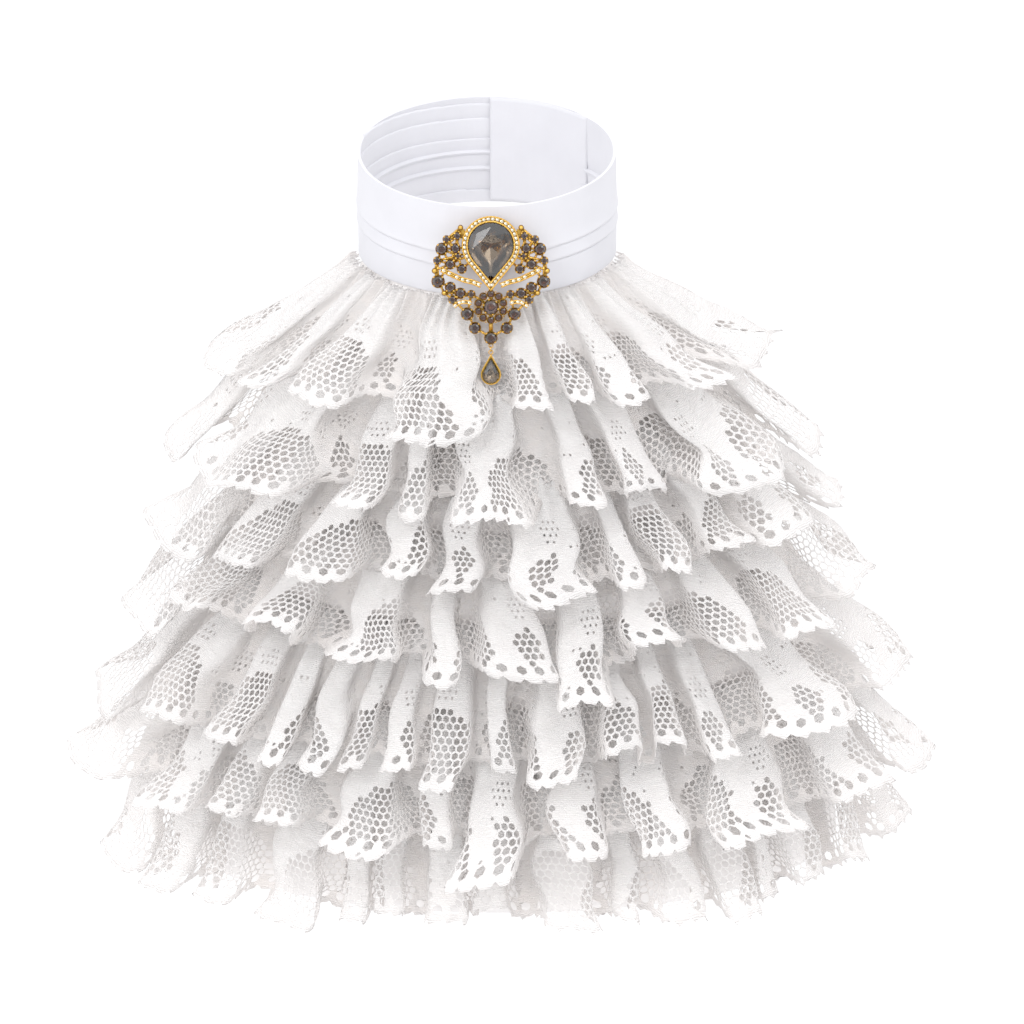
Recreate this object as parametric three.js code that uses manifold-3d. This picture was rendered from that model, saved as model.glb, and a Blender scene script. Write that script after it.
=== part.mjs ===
// Lace jabot with a stand collar and a pinned jewelled brooch.
// Millimetres, +Z up, the wearer faces -Y. The origin is the centre of the collar's bottom ring,
// where the collar sits round the neck.
import * as THREE from 'three';
import { mergeVertices } from 'three/addons/utils/BufferGeometryUtils.js';
import { ConvexGeometry } from 'three/addons/geometries/ConvexGeometry.js';
import Module from 'manifold-3d';

const wasm = await Module();
wasm.setup();

const degrees = (angle) => (angle * Math.PI) / 180;

// Collar: a stiffened cloth band, leaning forward as a neck does.
const COLLAR_RADIUS = 60;
const COLLAR_WALL = 1.6;
const COLLAR_FRONT_HEIGHT = 42.5;
const COLLAR_BACK_HEIGHT = 53;
const COLLAR_LEAN = 15.5;
const COLLAR_FLARE = 0.6;
const TUCK_HEIGHTS = [12, 18];
const TUCK_DEPTH = 0.7;
const TUCK_FOLD = 0.5;
const COLLAR_START = 44;
const COLLAR_SLIT = 4;
const COLLAR_COLUMNS = 36;
const TAB_WIDTH = 52;
const TAB_LAP = 9;
const TAB_WALL = 1.2;
const TAB_INSET = 2;
const TAB_COLUMNS = 8;

// Lace front: seven gathered tiers sewn to a plain cloth panel.
const LACE_WALL = 1;
const PANEL_WALL = 1;
const PANEL_REACH = 80;
const PANEL_LENGTH = 278;
const PANEL_TURN_IN = 9;
const SEAM_GAP = 0.3;
const GATHER_DEPTH = 0.7;
const RUFFLE_FALL = 60;
const HEM_STAND_OFF = 40;
const FLUTE_DEPTH = 11;
const FLUTE_GROWTH = 0.8;
const NARROW_FOLD = 12;
const NARROW_SHARE = 0.35;
const SPREAD_WIDTH = 100;
const SPREAD_LENGTH = 300;
const SPREAD_POWER = 1.2;
const FRONT_SLOPE = 0.12;
const SIDE_LIFT = 26;
const SIDE_LIFT_START = 60;
const SIDE_DROOP = 12;
const SIDE_DROOP_START = 230;
const SIDE_DROOP_LENGTH = 60;
const BODY_DEPTH_GAIN = 12;
const BODY_DEPTH_LENGTH = 225;
const SIDE_DRIFT = 8;
const SIDE_DRIFT_LENGTH = 160;

// Each tier: where its top edge is sewn, as a share of the panel's length; how far it falls, as a share of
// the ruffle's fall; how far its hem stands off at the sides and at the centre, as shares of the hem's
// stand-off; its flutes, as a share of the flute depth; how far round it reaches in degrees each side; and
// in how many straight stretches it falls.
// Its folds run from the viewer's left to right: width as a share of the row's sum, hem drop as a share of
// the fall, and stand-off as a share of the flute depth.
const TIERS = [
  {
    top: 0, fall: 0.717, side: 1, centre: 0.56, flute: 0.91, reach: 86, bends: 2,
    folds: [
      [24, 0.3, 0], [12, 0.1, 0], [20, 0.05, 0], [33, 0.4, 0.6], [14, 0, 0], [11, -0.05, 0],
      [13, 0, 0.2], [18, 0.1, 0], [27, 0.25, 0],
    ],
  },
  {
    top: 0.104, fall: 0.95, side: 0.975, centre: 0.7, flute: 1, reach: 86, bends: 2,
    folds: [
      [14, 0.3, 0], [36, 0.1, 0.5], [14, 0.1, 0], [8, 0.05, 0], [27, 0.15, 0.4], [13, 0, 0],
      [17, -0.05, 0], [29, 0.1, 0.4], [14, 0.25, 0],
    ],
  },
  {
    top: 0.237, fall: 0.933, side: 0.9, centre: 0.75, flute: 1, reach: 84, bends: 2,
    folds: [
      [22, 0.2, 0], [20, 0.05, 0.2], [16, 0, 0], [13, -0.15, 0], [13, 0.05, 0], [21, 0.1, 0.3],
      [8, 0, 0], [12, -0.1, 0], [12, -0.15, 0], [18, -0.1, 0.2], [13, 0, 0],
    ],
  },
  {
    top: 0.378, fall: 0.867, side: 0.925, centre: 0.825, flute: 1, reach: 84, bends: 1,
    folds: [
      [18, 0.2, 0], [16, -0.15, 0], [15, -0.2, 0], [19, -0.05, 0.3], [8, 0.1, 0], [16, 0.05, 0],
      [13, 0.3, 0.2], [13, -0.2, 0], [15, -0.05, 0], [17, 0, 0.2], [17, -0.05, 0],
    ],
  },
  {
    top: 0.525, fall: 0.933, side: 0.95, centre: 0.825, flute: 1, reach: 84, bends: 1,
    folds: [
      [17, 0.2, 0], [14, 0, 0.2], [12, -0.05, 0], [7, 0.05, 0], [8, 0.1, 0], [6, 0.05, 0],
      [7, -0.05, 0], [9, 0.1, 0], [6, 0, 0], [13, 0.05, 0], [9, -0.1, 0], [7, -0.2, 0],
      [9, 0, 0], [26, -0.1, 0.3], [18, -0.05, 0],
    ],
  },
  {
    top: 0.662, fall: 0.867, side: 0.925, centre: 0.825, flute: 1, reach: 84, bends: 1,
    folds: [
      [19, 0.1, 0], [17, 0, 0.2], [8, -0.1, 0], [12, -0.1, 0], [14, 0.05, 0], [7, 0, 0],
      [13, 0.25, 0.3], [11, 0.05, 0], [15, 0.05, 0], [22, 0, 0.2], [16, -0.05, 0], [14, 0.05, 0],
    ],
  },
  {
    top: 0.748, fall: 1.1, side: 0.575, centre: 0.5, flute: 0.91, reach: 84, bends: 1,
    folds: [
      [18, 0.1, 0], [14, 0.05, 0], [9, 0, 0], [16, 0.05, 0], [6, 0.05, 0], [7, -0.1, 0],
      [9, 0, 0], [7, -0.1, 0], [13, 0, 0], [6, 0, 0], [10, 0, 0], [10, 0.05, 0],
      [5, 0, 0], [11, -0.05, 0], [13, -0.1, 0], [13, -0.05, 0],
    ],
  },
];
const CENTRE_SPAN = 28;
const FOLD_STEPS = 6;
const FOLD_SWAY = 0.1;
const CREST_SPREAD = 0.06;
const CREST_FULLNESS = 0.2;
const PANEL_COLUMNS = 12;

// Brooch: a pierced gilt frame with set stones, upright against the collar's front.
const BROOCH_WIDTH = 53;
const BROOCH_HEIGHT = 57.5;
const BROOCH_ACROSS = 2.2;
const BROOCH_UP = -6.5;
const BROOCH_GAP = 1.2;
const BROOCH_TILT = 4;
const FRAME_THICKNESS = 1.5;
const CUP_HEIGHT = 2.4;
const CUP_WALL = 0.5;
const BAR_WIDTH = 1.3;
const STONE_GAP = 0.3;
const CUT_PAST = 1;
const STUD_SIDES = 6;
const SEATED_RADIUS = 1.7;
const STONE_SIDES = 8;
const STONE_TABLE = 0.58;
const STONE_CROWN = 0.42;
const STONE_CULET = 0.35;
const SHOULDER_REACH = 0.36;
const PEAR_RADIUS = 10;
const PEAR_TIP = 15.8;
const PEAR_UP = 14.9;
const PEAR_RIM = 2.85;
const PEAR_HEIGHT = 5;
const PEAR_TABLE = 0.62;
const PEAR_CULET = 0.5;
const PEAR_STEPS = 11;
const HALO_HEIGHT = 3.2;
const FLOWER_UP = -12.5;
const FLOWER_RING = 5.8;
const FLOWER_PETALS = 10;
const PETAL_RADIUS = 1.45;
const PETAL_CROWN = 0.4;
const FLOWER_STONE = 3.3;
const FLOWER_CROWN = 0.35;
const FLOWER_TABLE = 0.55;
const FLOWER_CULET = 0.8;
const EYE_RADIUS = 0.9;
const EYE_WIRE = 0.28;
const WIRE_SIDES = 5;
const RING_STEPS = 10;
const LINK_RADIUS = 1.2;
const DROP_LENGTH = 11.5;
const DROP_WIDTH = 7.6;
const DROP_THICKNESS = 1.4;
const DROP_CROWN = 0.28;
const DROP_TABLE = 0.55;
const DROP_CULET = 0.6;
const DROP_STEPS = 9;
const PIN_LENGTH = 26;
const PIN_RADIUS = 0.6;
const PIN_UP = 20.5;
const PIN_BLOCK = 3;

// One side's round stones: across, up and radius as shares of half the brooch's width, half its height
// and half its smaller span. The other side mirrors them.
const SIDE_STONES = [
  [0.82, 0.46, 0.092], [0.74, 0.61, 0.053], [0.56, 0.66, 0.058], [0.593, 0.47, 0.075],
  [0.55, 0.352, 0.044], [0.893, 0.282, 0.057], [0.683, 0.228, 0.077], [0.487, 0.155, 0.07],
  [0.883, -0.039, 0.098], [0.68, -0.129, 0.078], [0.51, -0.222, 0.08], [0.642, -0.319, 0.06],
  [0.328, -0.237, 0.057], [0.393, -0.54, 0.095], [0.267, -0.757, 0.087],
];
// One side's smallest studs, in the same shares, part of the frame.
const SIDE_STUDS = [[0.507, 0.79, 0.038], [0.942, 0.124, 0.04], [0.783, -0.217, 0.038]];
// One side's scroll arm: across and up, from the outer end to the pear's tip.
const SCROLL_ARM = [[0.833, 0.147], [0.667, 0.07], [0.473, -0.011], [0.303, -0.05], [0.17, -0.1]];
const SCROLL_WIDTH = 2.2;
const BOTTOM_STONE_UP = -0.91;
const BOTTOM_STONE_SHARE = 0.098;
const STONE_SPAN_SHARE = 0.92;

function finish(color, roughness, metalness) {
  return new THREE.MeshStandardMaterial({ color, roughness, metalness });
}

const CLOTH = finish(0xeff0f4, 0.85, 0);
const LACE = finish(0xfaf8f6, 0.9, 0);
const GILT = finish(0xc9992f, 0.3, 1);
const BROWN_GLASS = finish(0x4a2f22, 0.08, 0);
const SMOKE_GLASS = finish(0x8a7a68, 0.05, 0);

// A wall of even thickness over the grid of points that point(u, v) gives for the listed us and vs.
function sheetWall(point, us, vs, thickness) {
  const step = 1e-3;
  const count = us.length * vs.length;
  const places = new Float64Array(count * 6);
  us.forEach((u, i) => vs.forEach((v, j) => {
    const centre = point(u, v);
    const alongU = point(u + step, v).sub(point(u - step, v));
    const alongV = point(u, v + step).sub(point(u, v - step));
    const half = alongU.cross(alongV).normalize().multiplyScalar(thickness / 2);
    const index = i * vs.length + j;
    places.set(centre.clone().add(half).toArray(), index * 3);
    places.set(centre.clone().sub(half).toArray(), (count + index) * 3);
  }));
  const at = (i, j, side) => side * count + i * vs.length + j;
  const faces = [];
  const quad = (a, b, c, d) => faces.push(a, b, c, a, c, d);
  const lastU = us.length - 1;
  const lastV = vs.length - 1;
  for (let i = 0; i < lastU; i += 1) {
    for (let j = 0; j < lastV; j += 1) {
      quad(at(i, j, 0), at(i + 1, j, 0), at(i + 1, j + 1, 0), at(i, j + 1, 0));
      quad(at(i, j, 1), at(i, j + 1, 1), at(i + 1, j + 1, 1), at(i + 1, j, 1));
    }
    quad(at(i, 0, 1), at(i + 1, 0, 1), at(i + 1, 0, 0), at(i, 0, 0));
    quad(at(i, lastV, 0), at(i + 1, lastV, 0), at(i + 1, lastV, 1), at(i, lastV, 1));
  }
  for (let j = 0; j < lastV; j += 1) {
    quad(at(0, j, 0), at(0, j + 1, 0), at(0, j + 1, 1), at(0, j, 1));
    quad(at(lastU, j, 1), at(lastU, j + 1, 1), at(lastU, j + 1, 0), at(lastU, j, 0));
  }
  const geometry = new THREE.BufferGeometry();
  geometry.setAttribute('position', new THREE.BufferAttribute(new Float32Array(places), 3));
  geometry.setIndex(faces);
  return geometry;
}

function evenSteps(from, to, count) {
  return Array.from({ length: count + 1 }, (_, i) => from + ((to - from) * i) / count);
}

// A point of the leaning collar: angle from the front towards the viewer's right, height and radius.
function collarPoint(angle, height, radius) {
  const ring = new THREE.Vector3(radius * Math.sin(angle), -radius * Math.cos(angle), height);
  return ring.applyAxisAngle(new THREE.Vector3(1, 0, 0), degrees(COLLAR_LEAN));
}

function collarHeight(angle) {
  const middle = (COLLAR_FRONT_HEIGHT + COLLAR_BACK_HEIGHT) / 2;
  return middle - ((COLLAR_BACK_HEIGHT - COLLAR_FRONT_HEIGHT) / 2) * Math.cos(angle);
}

// The collar's cloth leans out a little towards its bottom edge, and each tuck laps over the next.
function collarRadius(share, height) {
  const edges = [0, ...TUCK_HEIGHTS.flatMap((tuck) => [tuck, tuck + TUCK_FOLD])];
  const band = edges.filter((edge) => edge <= height + 1e-6).length;
  const lapped = band % 2 === 0;
  const base = COLLAR_RADIUS + COLLAR_FLARE * (1 - share) - COLLAR_WALL / 2;
  return lapped ? base + TUCK_DEPTH / 2 : base - TUCK_DEPTH / 2;
}

function collarBand() {
  const start = degrees(180 - COLLAR_START);
  const end = start - degrees(360 - COLLAR_SLIT);
  const levels = [0, ...TUCK_HEIGHTS.flatMap((tuck) => [tuck, tuck + TUCK_FOLD]), null];
  const rows = levels.map((_, index) => index);
  const point = (angle, row) => {
    const low = Math.max(0, Math.min(levels.length - 2, Math.floor(row)));
    const part = row - low;
    const top = collarHeight(angle);
    const from = levels[low];
    const to = levels[low + 1] ?? top;
    const height = from + (to - from) * part;
    const before = collarRadius(from / top, from);
    const after = collarRadius(to / top, to);
    return collarPoint(angle, height, before + (after - before) * part);
  };
  return sheetWall(point, evenSteps(end, start, COLLAR_COLUMNS), rows, COLLAR_WALL);
}

// The smooth end of the band laps inside the tucked end at the back.
function closureTab() {
  const radius = COLLAR_RADIUS - COLLAR_WALL - TUCK_DEPTH - SEAM_GAP - TAB_WALL / 2;
  const far = degrees(180 - COLLAR_START) - TAB_LAP / radius;
  const near = far + TAB_WIDTH / radius;
  const point = (angle, share) => {
    const height = TAB_INSET + (collarHeight(angle) - 2 * TAB_INSET) * share;
    return collarPoint(angle, height, radius);
  };
  return sheetWall(point, evenSteps(far, near, TAB_COLUMNS), [0, 1], TAB_WALL);
}

// The surface that the panel and every tier's top seam follow: angle from the front and length down
// from the collar's bottom edge, with a stand-off along the level outward direction.
function bodyPoint(angle, down, standOff) {
  const below = Math.max(down, 0);
  const spread = Math.sin((Math.min(1, below / SPREAD_LENGTH) * Math.PI) / 2) ** SPREAD_POWER;
  const halfWidth = COLLAR_RADIUS + SPREAD_WIDTH * spread;
  const ringDepth = COLLAR_RADIUS * Math.cos(degrees(COLLAR_LEAN));
  const depth = ringDepth + BODY_DEPTH_GAIN * Math.min(1, below / BODY_DEPTH_LENGTH);
  const droop = Math.min(1, Math.max(0, (below - SIDE_DROOP_START) / SIDE_DROOP_LENGTH));
  const lift = SIDE_LIFT * Math.min(1, below / SIDE_LIFT_START) - SIDE_DROOP * droop;
  const turn = 1 - Math.cos(angle);
  const ringDrop = COLLAR_RADIUS * Math.sin(degrees(COLLAR_LEAN)) * Math.cos(angle);
  const drift = SIDE_DRIFT * Math.min(1, below / SIDE_DRIFT_LENGTH);
  const outward = new THREE.Vector3(depth * Math.sin(angle), -halfWidth * Math.cos(angle), 0);
  return new THREE.Vector3(
    halfWidth * Math.sin(angle) + drift,
    -ringDepth - FRONT_SLOPE * down + depth * turn,
    -ringDrop - down + lift * turn * turn,
  ).addScaledVector(outward.normalize(), standOff);
}

const tiers = TIERS.map((row) => ({
  ...row,
  top: row.top * PANEL_LENGTH,
  fall: row.fall * RUFFLE_FALL,
  side: row.side * HEM_STAND_OFF,
  centre: row.centre * HEM_STAND_OFF,
  flute: row.flute * FLUTE_DEPTH,
}));

function foldEdges(tier) {
  const total = tier.folds.reduce((sum, fold) => sum + fold[0], 0);
  const edges = [-tier.reach];
  tier.folds.forEach(([width]) => edges.push(edges.at(-1) + (2 * tier.reach * width) / total));
  return edges.map(degrees);
}

// A point of a gathered tier. Each fold runs valley, crest, valley: the crests are broad and stand forward
// of narrow valleys, and the folds deepen towards the hem.
function tierPoint(tier, edges, angle, share) {
  let index = tier.folds.length - 1;
  while (index > 0 && angle < edges[index]) index -= 1;
  const [, drop, stand] = tier.folds[index];
  const width = edges[index + 1] - edges[index];
  const phase = (2 * Math.PI * (angle - edges[index])) / width;
  const wave = -Math.cos(phase);
  const full = wave + CREST_FULLNESS * (1 - wave * wave);
  const crest = (full * (3 - full * full)) / 2;
  const rise = (1 + crest) / 2;
  const centred = Math.exp(-((angle / degrees(CENTRE_SPAN)) ** 2));
  const flare = tier.side + (tier.centre - tier.side) * centred;
  const fullness = Math.max(share, 0) ** FLUTE_GROWTH;
  const narrow = Math.min(1, NARROW_SHARE + ((1 - NARROW_SHARE) * width) / degrees(NARROW_FOLD));
  const depth = Math.max(GATHER_DEPTH, tier.flute * fullness * narrow);
  const turned = FOLD_SWAY * Math.sin(2 * phase) - CREST_SPREAD * Math.sin(phase);
  const sway = width * turned * Math.sqrt(Math.max(share, 0));
  const down = tier.top + tier.fall * (1 + drop * rise) * share + SEAM_GAP + LACE_WALL / 2;
  const standOff = (flare + stand * tier.flute * rise) * share + depth * crest;
  return bodyPoint(angle + sway, down, standOff);
}

function laceTier(tier) {
  const edges = foldEdges(tier);
  const foldAngles = (edge, index) => evenSteps(edges[index], edge, FOLD_STEPS).slice(1);
  const angles = edges.slice(1).flatMap(foldAngles);
  const nudge = 1e-3;
  const columns = [edges[0] + nudge, ...angles.map((angle) => angle - nudge)];
  const rows = evenSteps(0, 1, tier.bends);
  return sheetWall((angle, share) => tierPoint(tier, edges, angle, share), columns, rows, LACE_WALL);
}

// The plain cloth panel behind the tiers, turned in under the collar at its top.
function bibPanel() {
  const reach = degrees(PANEL_REACH);
  const facetSag = COLLAR_RADIUS * (1 - Math.cos(Math.PI / COLLAR_COLUMNS));
  const collarInside = COLLAR_WALL + TUCK_DEPTH / 2 + facetSag - COLLAR_FLARE;
  const laceInside = GATHER_DEPTH + LACE_WALL / 2;
  const point = (angle, down) => {
    const clear = Math.min(1, Math.max(0, down / tiers[1].top));
    const inside = collarInside + (laceInside - collarInside) * clear;
    return bodyPoint(angle, down, -inside - SEAM_GAP - PANEL_WALL / 2);
  };
  const rows = [-PANEL_TURN_IN, ...tiers.map((tier) => tier.top), PANEL_LENGTH];
  return sheetWall(point, evenSteps(-reach, reach, PANEL_COLUMNS), rows, PANEL_WALL);
}

function toSolid(geometry) {
  const plain = geometry.clone();
  plain.deleteAttribute('normal');
  plain.deleteAttribute('uv');
  const merged = mergeVertices(plain, 1e-4);
  const mesh = new wasm.Mesh({
    numProp: 3,
    vertProperties: new Float32Array(merged.attributes.position.array),
    triVerts: new Uint32Array(merged.index.array),
  });
  return new wasm.Manifold(mesh);
}

function toGeometry(solid) {
  const mesh = solid.getMesh();
  const geometry = new THREE.BufferGeometry();
  const places = new Float32Array(mesh.vertProperties);
  geometry.setAttribute('position', new THREE.BufferAttribute(places, 3));
  geometry.setIndex(Array.from(mesh.triVerts));
  return geometry;
}

// Brooch pieces are drawn in the brooch's own plane: x across, y up, z forward from its back.
function drum(radius, from, to, x, y, sides = 8) {
  const geometry = new THREE.CylinderGeometry(radius, radius, to - from, sides);
  geometry.rotateX(Math.PI / 2);
  geometry.translate(x, y, (from + to) / 2);
  return toSolid(geometry);
}

function bar(from, to, width, height) {
  const length = Math.hypot(to.x - from.x, to.y - from.y);
  const geometry = new THREE.BoxGeometry(length, width, height);
  geometry.rotateZ(Math.atan2(to.y - from.y, to.x - from.x));
  geometry.translate((from.x + to.x) / 2, (from.y + to.y) / 2, height / 2);
  return toSolid(geometry);
}

function ring(radius, wire, x, y, z, turned) {
  const geometry = new THREE.TorusGeometry(radius, wire, WIRE_SIDES, RING_STEPS);
  if (turned) geometry.rotateY(Math.PI / 2);
  geometry.translate(x, y, z);
  return toSolid(geometry);
}

// A teardrop outline: a round head and straight sides that meet in a tip below it.
function teardrop(radius, tip, headSteps) {
  const meet = Math.asin(radius / tip);
  const arc = evenSteps(-meet, Math.PI + meet, headSteps);
  const head = arc.map((angle) => new THREE.Vector2(radius * Math.cos(angle), radius * Math.sin(angle)));
  return [...head, new THREE.Vector2(0, -tip)];
}

function plate(outline, up, from, to) {
  const settings = { depth: to - from, bevelEnabled: false };
  const geometry = new THREE.ExtrudeGeometry(new THREE.Shape(outline), settings);
  geometry.translate(0, up, from);
  return toSolid(geometry);
}

// A cut stone: outline, girdle height, table and pavilion, as one convex solid.
function cutStone(outline, x, y, girdle, crown, pavilion, tableShare, culetShare) {
  const level = (share, z) => outline.map((p) => new THREE.Vector3(x + p.x * share, y + p.y * share, z));
  return new ConvexGeometry([
    ...level(tableShare, girdle + crown),
    ...level(1, girdle),
    ...level(culetShare, girdle - pavilion),
  ]);
}

function roundOutline(radius, sides) {
  return evenSteps(0, 2 * Math.PI, sides).slice(1).map(
    (angle) => new THREE.Vector2(radius * Math.cos(angle), radius * Math.sin(angle)),
  );
}

const stoneSpan = Math.min(BROOCH_WIDTH, BROOCH_HEIGHT * STONE_SPAN_SHARE) / 2;
const stoneSites = [];
[['left', -1], ['right', 1]].forEach(([side, sign]) => {
  SIDE_STONES.forEach(([across, up, radius], index) => {
    stoneSites.push({
      name: `stone_${side}_${index + 1}`,
      x: (sign * across * BROOCH_WIDTH) / 2,
      y: (up * BROOCH_HEIGHT) / 2,
      radius: radius * stoneSpan,
    });
  });
});
const bottomStone = {
  name: 'stone_bottom',
  x: 0,
  y: (BOTTOM_STONE_UP * BROOCH_HEIGHT) / 2,
  radius: BOTTOM_STONE_SHARE * stoneSpan,
};
stoneSites.push(bottomStone);

function studSites() {
  return [-1, 1].flatMap((sign) => SIDE_STUDS.map(([across, up, radius]) => ({
    x: (sign * across * BROOCH_WIDTH) / 2,
    y: (up * BROOCH_HEIGHT) / 2,
    radius: radius * stoneSpan,
  })));
}

const eyeUp = bottomStone.y - bottomStone.radius - CUP_WALL - EYE_RADIUS + EYE_WIRE;
const eyeDepth = FRAME_THICKNESS / 2;
const linkDrop = 2 * EYE_WIRE + STONE_GAP / 3;
const linkUp = eyeUp - EYE_RADIUS + linkDrop - LINK_RADIUS;
const dropEyeUp = linkUp - LINK_RADIUS + linkDrop - EYE_RADIUS;
const dropHead = DROP_WIDTH / 2;
const settingHead = dropHead + CUP_WALL + STONE_GAP;
const settingTip = (DROP_LENGTH - dropHead) * (settingHead / dropHead);
const dropUp = dropEyeUp - EYE_RADIUS + EYE_WIRE - settingTip;

// Bars run from each cup to the nearest cup nearer the middle, so that the openwork holds together.
function frameBars(sites) {
  const reach = (site) => Math.hypot(site.x, site.y);
  return sites.flatMap((site) => {
    const apart = (other) => Math.hypot(other.x - site.x, other.y - site.y);
    const inner = sites
      .filter((other) => other !== site && reach(other) < reach(site) && site.x * other.x >= 0)
      .sort((a, b) => apart(a) - apart(b));
    return inner.slice(0, 1).map((target) => bar(site, target, BAR_WIDTH, FRAME_THICKNESS));
  });
}

function scrollArm(sign) {
  const points = SCROLL_ARM.map(([across, up]) => ({
    x: (sign * across * BROOCH_WIDTH) / 2,
    y: (up * BROOCH_HEIGHT) / 2,
  }));
  return points.slice(1).map((point, index) => bar(points[index], point, SCROLL_WIDTH, CUP_HEIGHT));
}

function broochFrame() {
  const studs = studSites();
  const cups = stoneSites.map(
    (site) => drum(site.radius + STONE_GAP + CUP_WALL, 0, CUP_HEIGHT, site.x, site.y),
  );
  const seats = stoneSites.filter((site) => site.radius > SEATED_RADIUS).map(
    (site) => drum(site.radius + STONE_GAP, CUP_HEIGHT / 2, CUP_HEIGHT + CUT_PAST, site.x, site.y),
  );
  const studDrums = studs.map((stud) => drum(stud.radius, 0, CUP_HEIGHT, stud.x, stud.y, STUD_SIDES));
  const grown = (more) => teardrop(PEAR_RADIUS + more, PEAR_TIP * (1 + more / PEAR_RADIUS), PEAR_STEPS + 1);
  const rim = plate(grown(PEAR_RIM), PEAR_UP, 0, HALO_HEIGHT);
  const pearSeat = plate(grown(STONE_GAP), PEAR_UP, FRAME_THICKNESS, HALO_HEIGHT + CUT_PAST);
  const pearTip = { x: 0, y: PEAR_UP - PEAR_TIP };
  const spine = bar(pearTip, bottomStone, SCROLL_WIDTH, FRAME_THICKNESS);
  const flowerBase = { x: 0, y: FLOWER_UP };
  const flowerArms = stoneSites
    .filter((site) => Math.hypot(site.x, site.y - FLOWER_UP) < FLOWER_RING * 2)
    .map((site) => bar(site, flowerBase, BAR_WIDTH, FRAME_THICKNESS));
  const shoulder = stoneSites
    .filter((site) => site.y > 0 && Math.abs(site.x) < BROOCH_WIDTH * SHOULDER_REACH)
    .map((site) => bar(site, { x: 0, y: PEAR_UP }, BAR_WIDTH, FRAME_THICKNESS));
  const pieces = [
    rim, spine, ...cups, ...studDrums, ...flowerArms, ...shoulder,
    ...frameBars([...stoneSites, ...studs]),
    ...scrollArm(-1), ...scrollArm(1),
    ring(EYE_RADIUS, EYE_WIRE, 0, eyeUp, eyeDepth, false),
  ];
  const solid = wasm.Manifold.union(pieces);
  return toGeometry(solid.subtract(wasm.Manifold.union([pearSeat, ...seats])));
}

function roundStone(site) {
  const seated = site.radius > SEATED_RADIUS;
  const girdle = CUP_HEIGHT + (seated ? STONE_GAP : STONE_GAP + CUP_HEIGHT / 4);
  const pavilion = seated ? CUP_HEIGHT / 2 : CUP_HEIGHT / 4;
  const outline = roundOutline(site.radius, STONE_SIDES);
  const crown = site.radius * STONE_CROWN;
  return cutStone(outline, site.x, site.y, girdle, crown, pavilion, STONE_TABLE, STONE_CULET);
}

function pearStone() {
  const girdle = HALO_HEIGHT + STONE_GAP;
  const outline = teardrop(PEAR_RADIUS, PEAR_TIP, PEAR_STEPS);
  const pavilion = girdle - FRAME_THICKNESS - STONE_GAP;
  const crown = PEAR_HEIGHT - HALO_HEIGHT;
  return cutStone(outline, 0, PEAR_UP, girdle, crown, pavilion, PEAR_TABLE, PEAR_CULET);
}

// The flower: a ring of small stones round one larger stone, on one plate over the spine.
function broochFlower() {
  const base = FRAME_THICKNESS + STONE_GAP;
  const girdle = CUP_HEIGHT + STONE_GAP;
  const petalHeight = girdle + PETAL_RADIUS * PETAL_CROWN - base;
  const petals = evenSteps(0, 2 * Math.PI, FLOWER_PETALS).slice(1).map((angle) => {
    const x = FLOWER_RING * Math.cos(angle);
    const y = FLOWER_UP + FLOWER_RING * Math.sin(angle);
    const outline = roundOutline(PETAL_RADIUS, STONE_SIDES);
    return toSolid(cutStone(outline, x, y, base, petalHeight, 0, FLOWER_TABLE, 1));
  });
  const heartOutline = roundOutline(FLOWER_STONE, STONE_SIDES);
  const heartGirdle = girdle + STONE_GAP;
  const heartCrown = FLOWER_STONE * FLOWER_CROWN;
  const heart = toSolid(cutStone(
    heartOutline, 0, FLOWER_UP, heartGirdle, heartCrown, heartGirdle - base, FLOWER_TABLE, FLOWER_CULET,
  ));
  const disc = drum(FLOWER_RING, base, girdle - STONE_GAP, 0, FLOWER_UP, FLOWER_PETALS);
  return toGeometry(wasm.Manifold.union([disc, heart, ...petals]));
}

function dropLink() {
  return toGeometry(ring(LINK_RADIUS, EYE_WIRE, 0, linkUp, eyeDepth, true));
}

function dropOutline(grow) {
  const radius = dropHead + grow;
  return teardrop(radius, (DROP_LENGTH - dropHead) * (radius / dropHead), DROP_STEPS)
    .map((p) => new THREE.Vector2(p.x, -p.y)).reverse();
}

function dropSetting() {
  const back = eyeDepth - DROP_THICKNESS / 2;
  const body = plate(dropOutline(CUP_WALL + STONE_GAP), dropUp, back, back + DROP_THICKNESS);
  const seat = plate(dropOutline(STONE_GAP), dropUp, eyeDepth, eyeDepth + DROP_THICKNESS);
  const eye = ring(EYE_RADIUS, EYE_WIRE, 0, dropEyeUp, eyeDepth, false);
  return toGeometry(wasm.Manifold.union([body, eye]).subtract(seat));
}

function dropStone() {
  const girdle = eyeDepth + DROP_THICKNESS / 2 + STONE_GAP;
  const crown = DROP_WIDTH * DROP_CROWN;
  return cutStone(dropOutline(0), 0, dropUp, girdle, crown, DROP_THICKNESS / 2, DROP_TABLE, DROP_CULET);
}

// A plain pin behind the brooch, close to the collar's cloth.
function broochPin(reachBack) {
  const ends = [-1, 1].map((sign) => {
    const block = new THREE.BoxGeometry(PIN_BLOCK, PIN_BLOCK, reachBack);
    block.translate((sign * PIN_LENGTH) / 2, PIN_UP, -STONE_GAP - reachBack / 2);
    return toSolid(block);
  });
  const stem = new THREE.CylinderGeometry(PIN_RADIUS, PIN_RADIUS, PIN_LENGTH, 8);
  stem.rotateZ(Math.PI / 2);
  stem.translate(0, PIN_UP, -STONE_GAP - reachBack + PIN_RADIUS);
  return toGeometry(wasm.Manifold.union([...ends, toSolid(stem)]));
}

const jabot = new THREE.Group();

function addPiece(parent, name, geometry, material) {
  const mesh = new THREE.Mesh(geometry, material.clone());
  mesh.name = name;
  parent.add(mesh);
}

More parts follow.
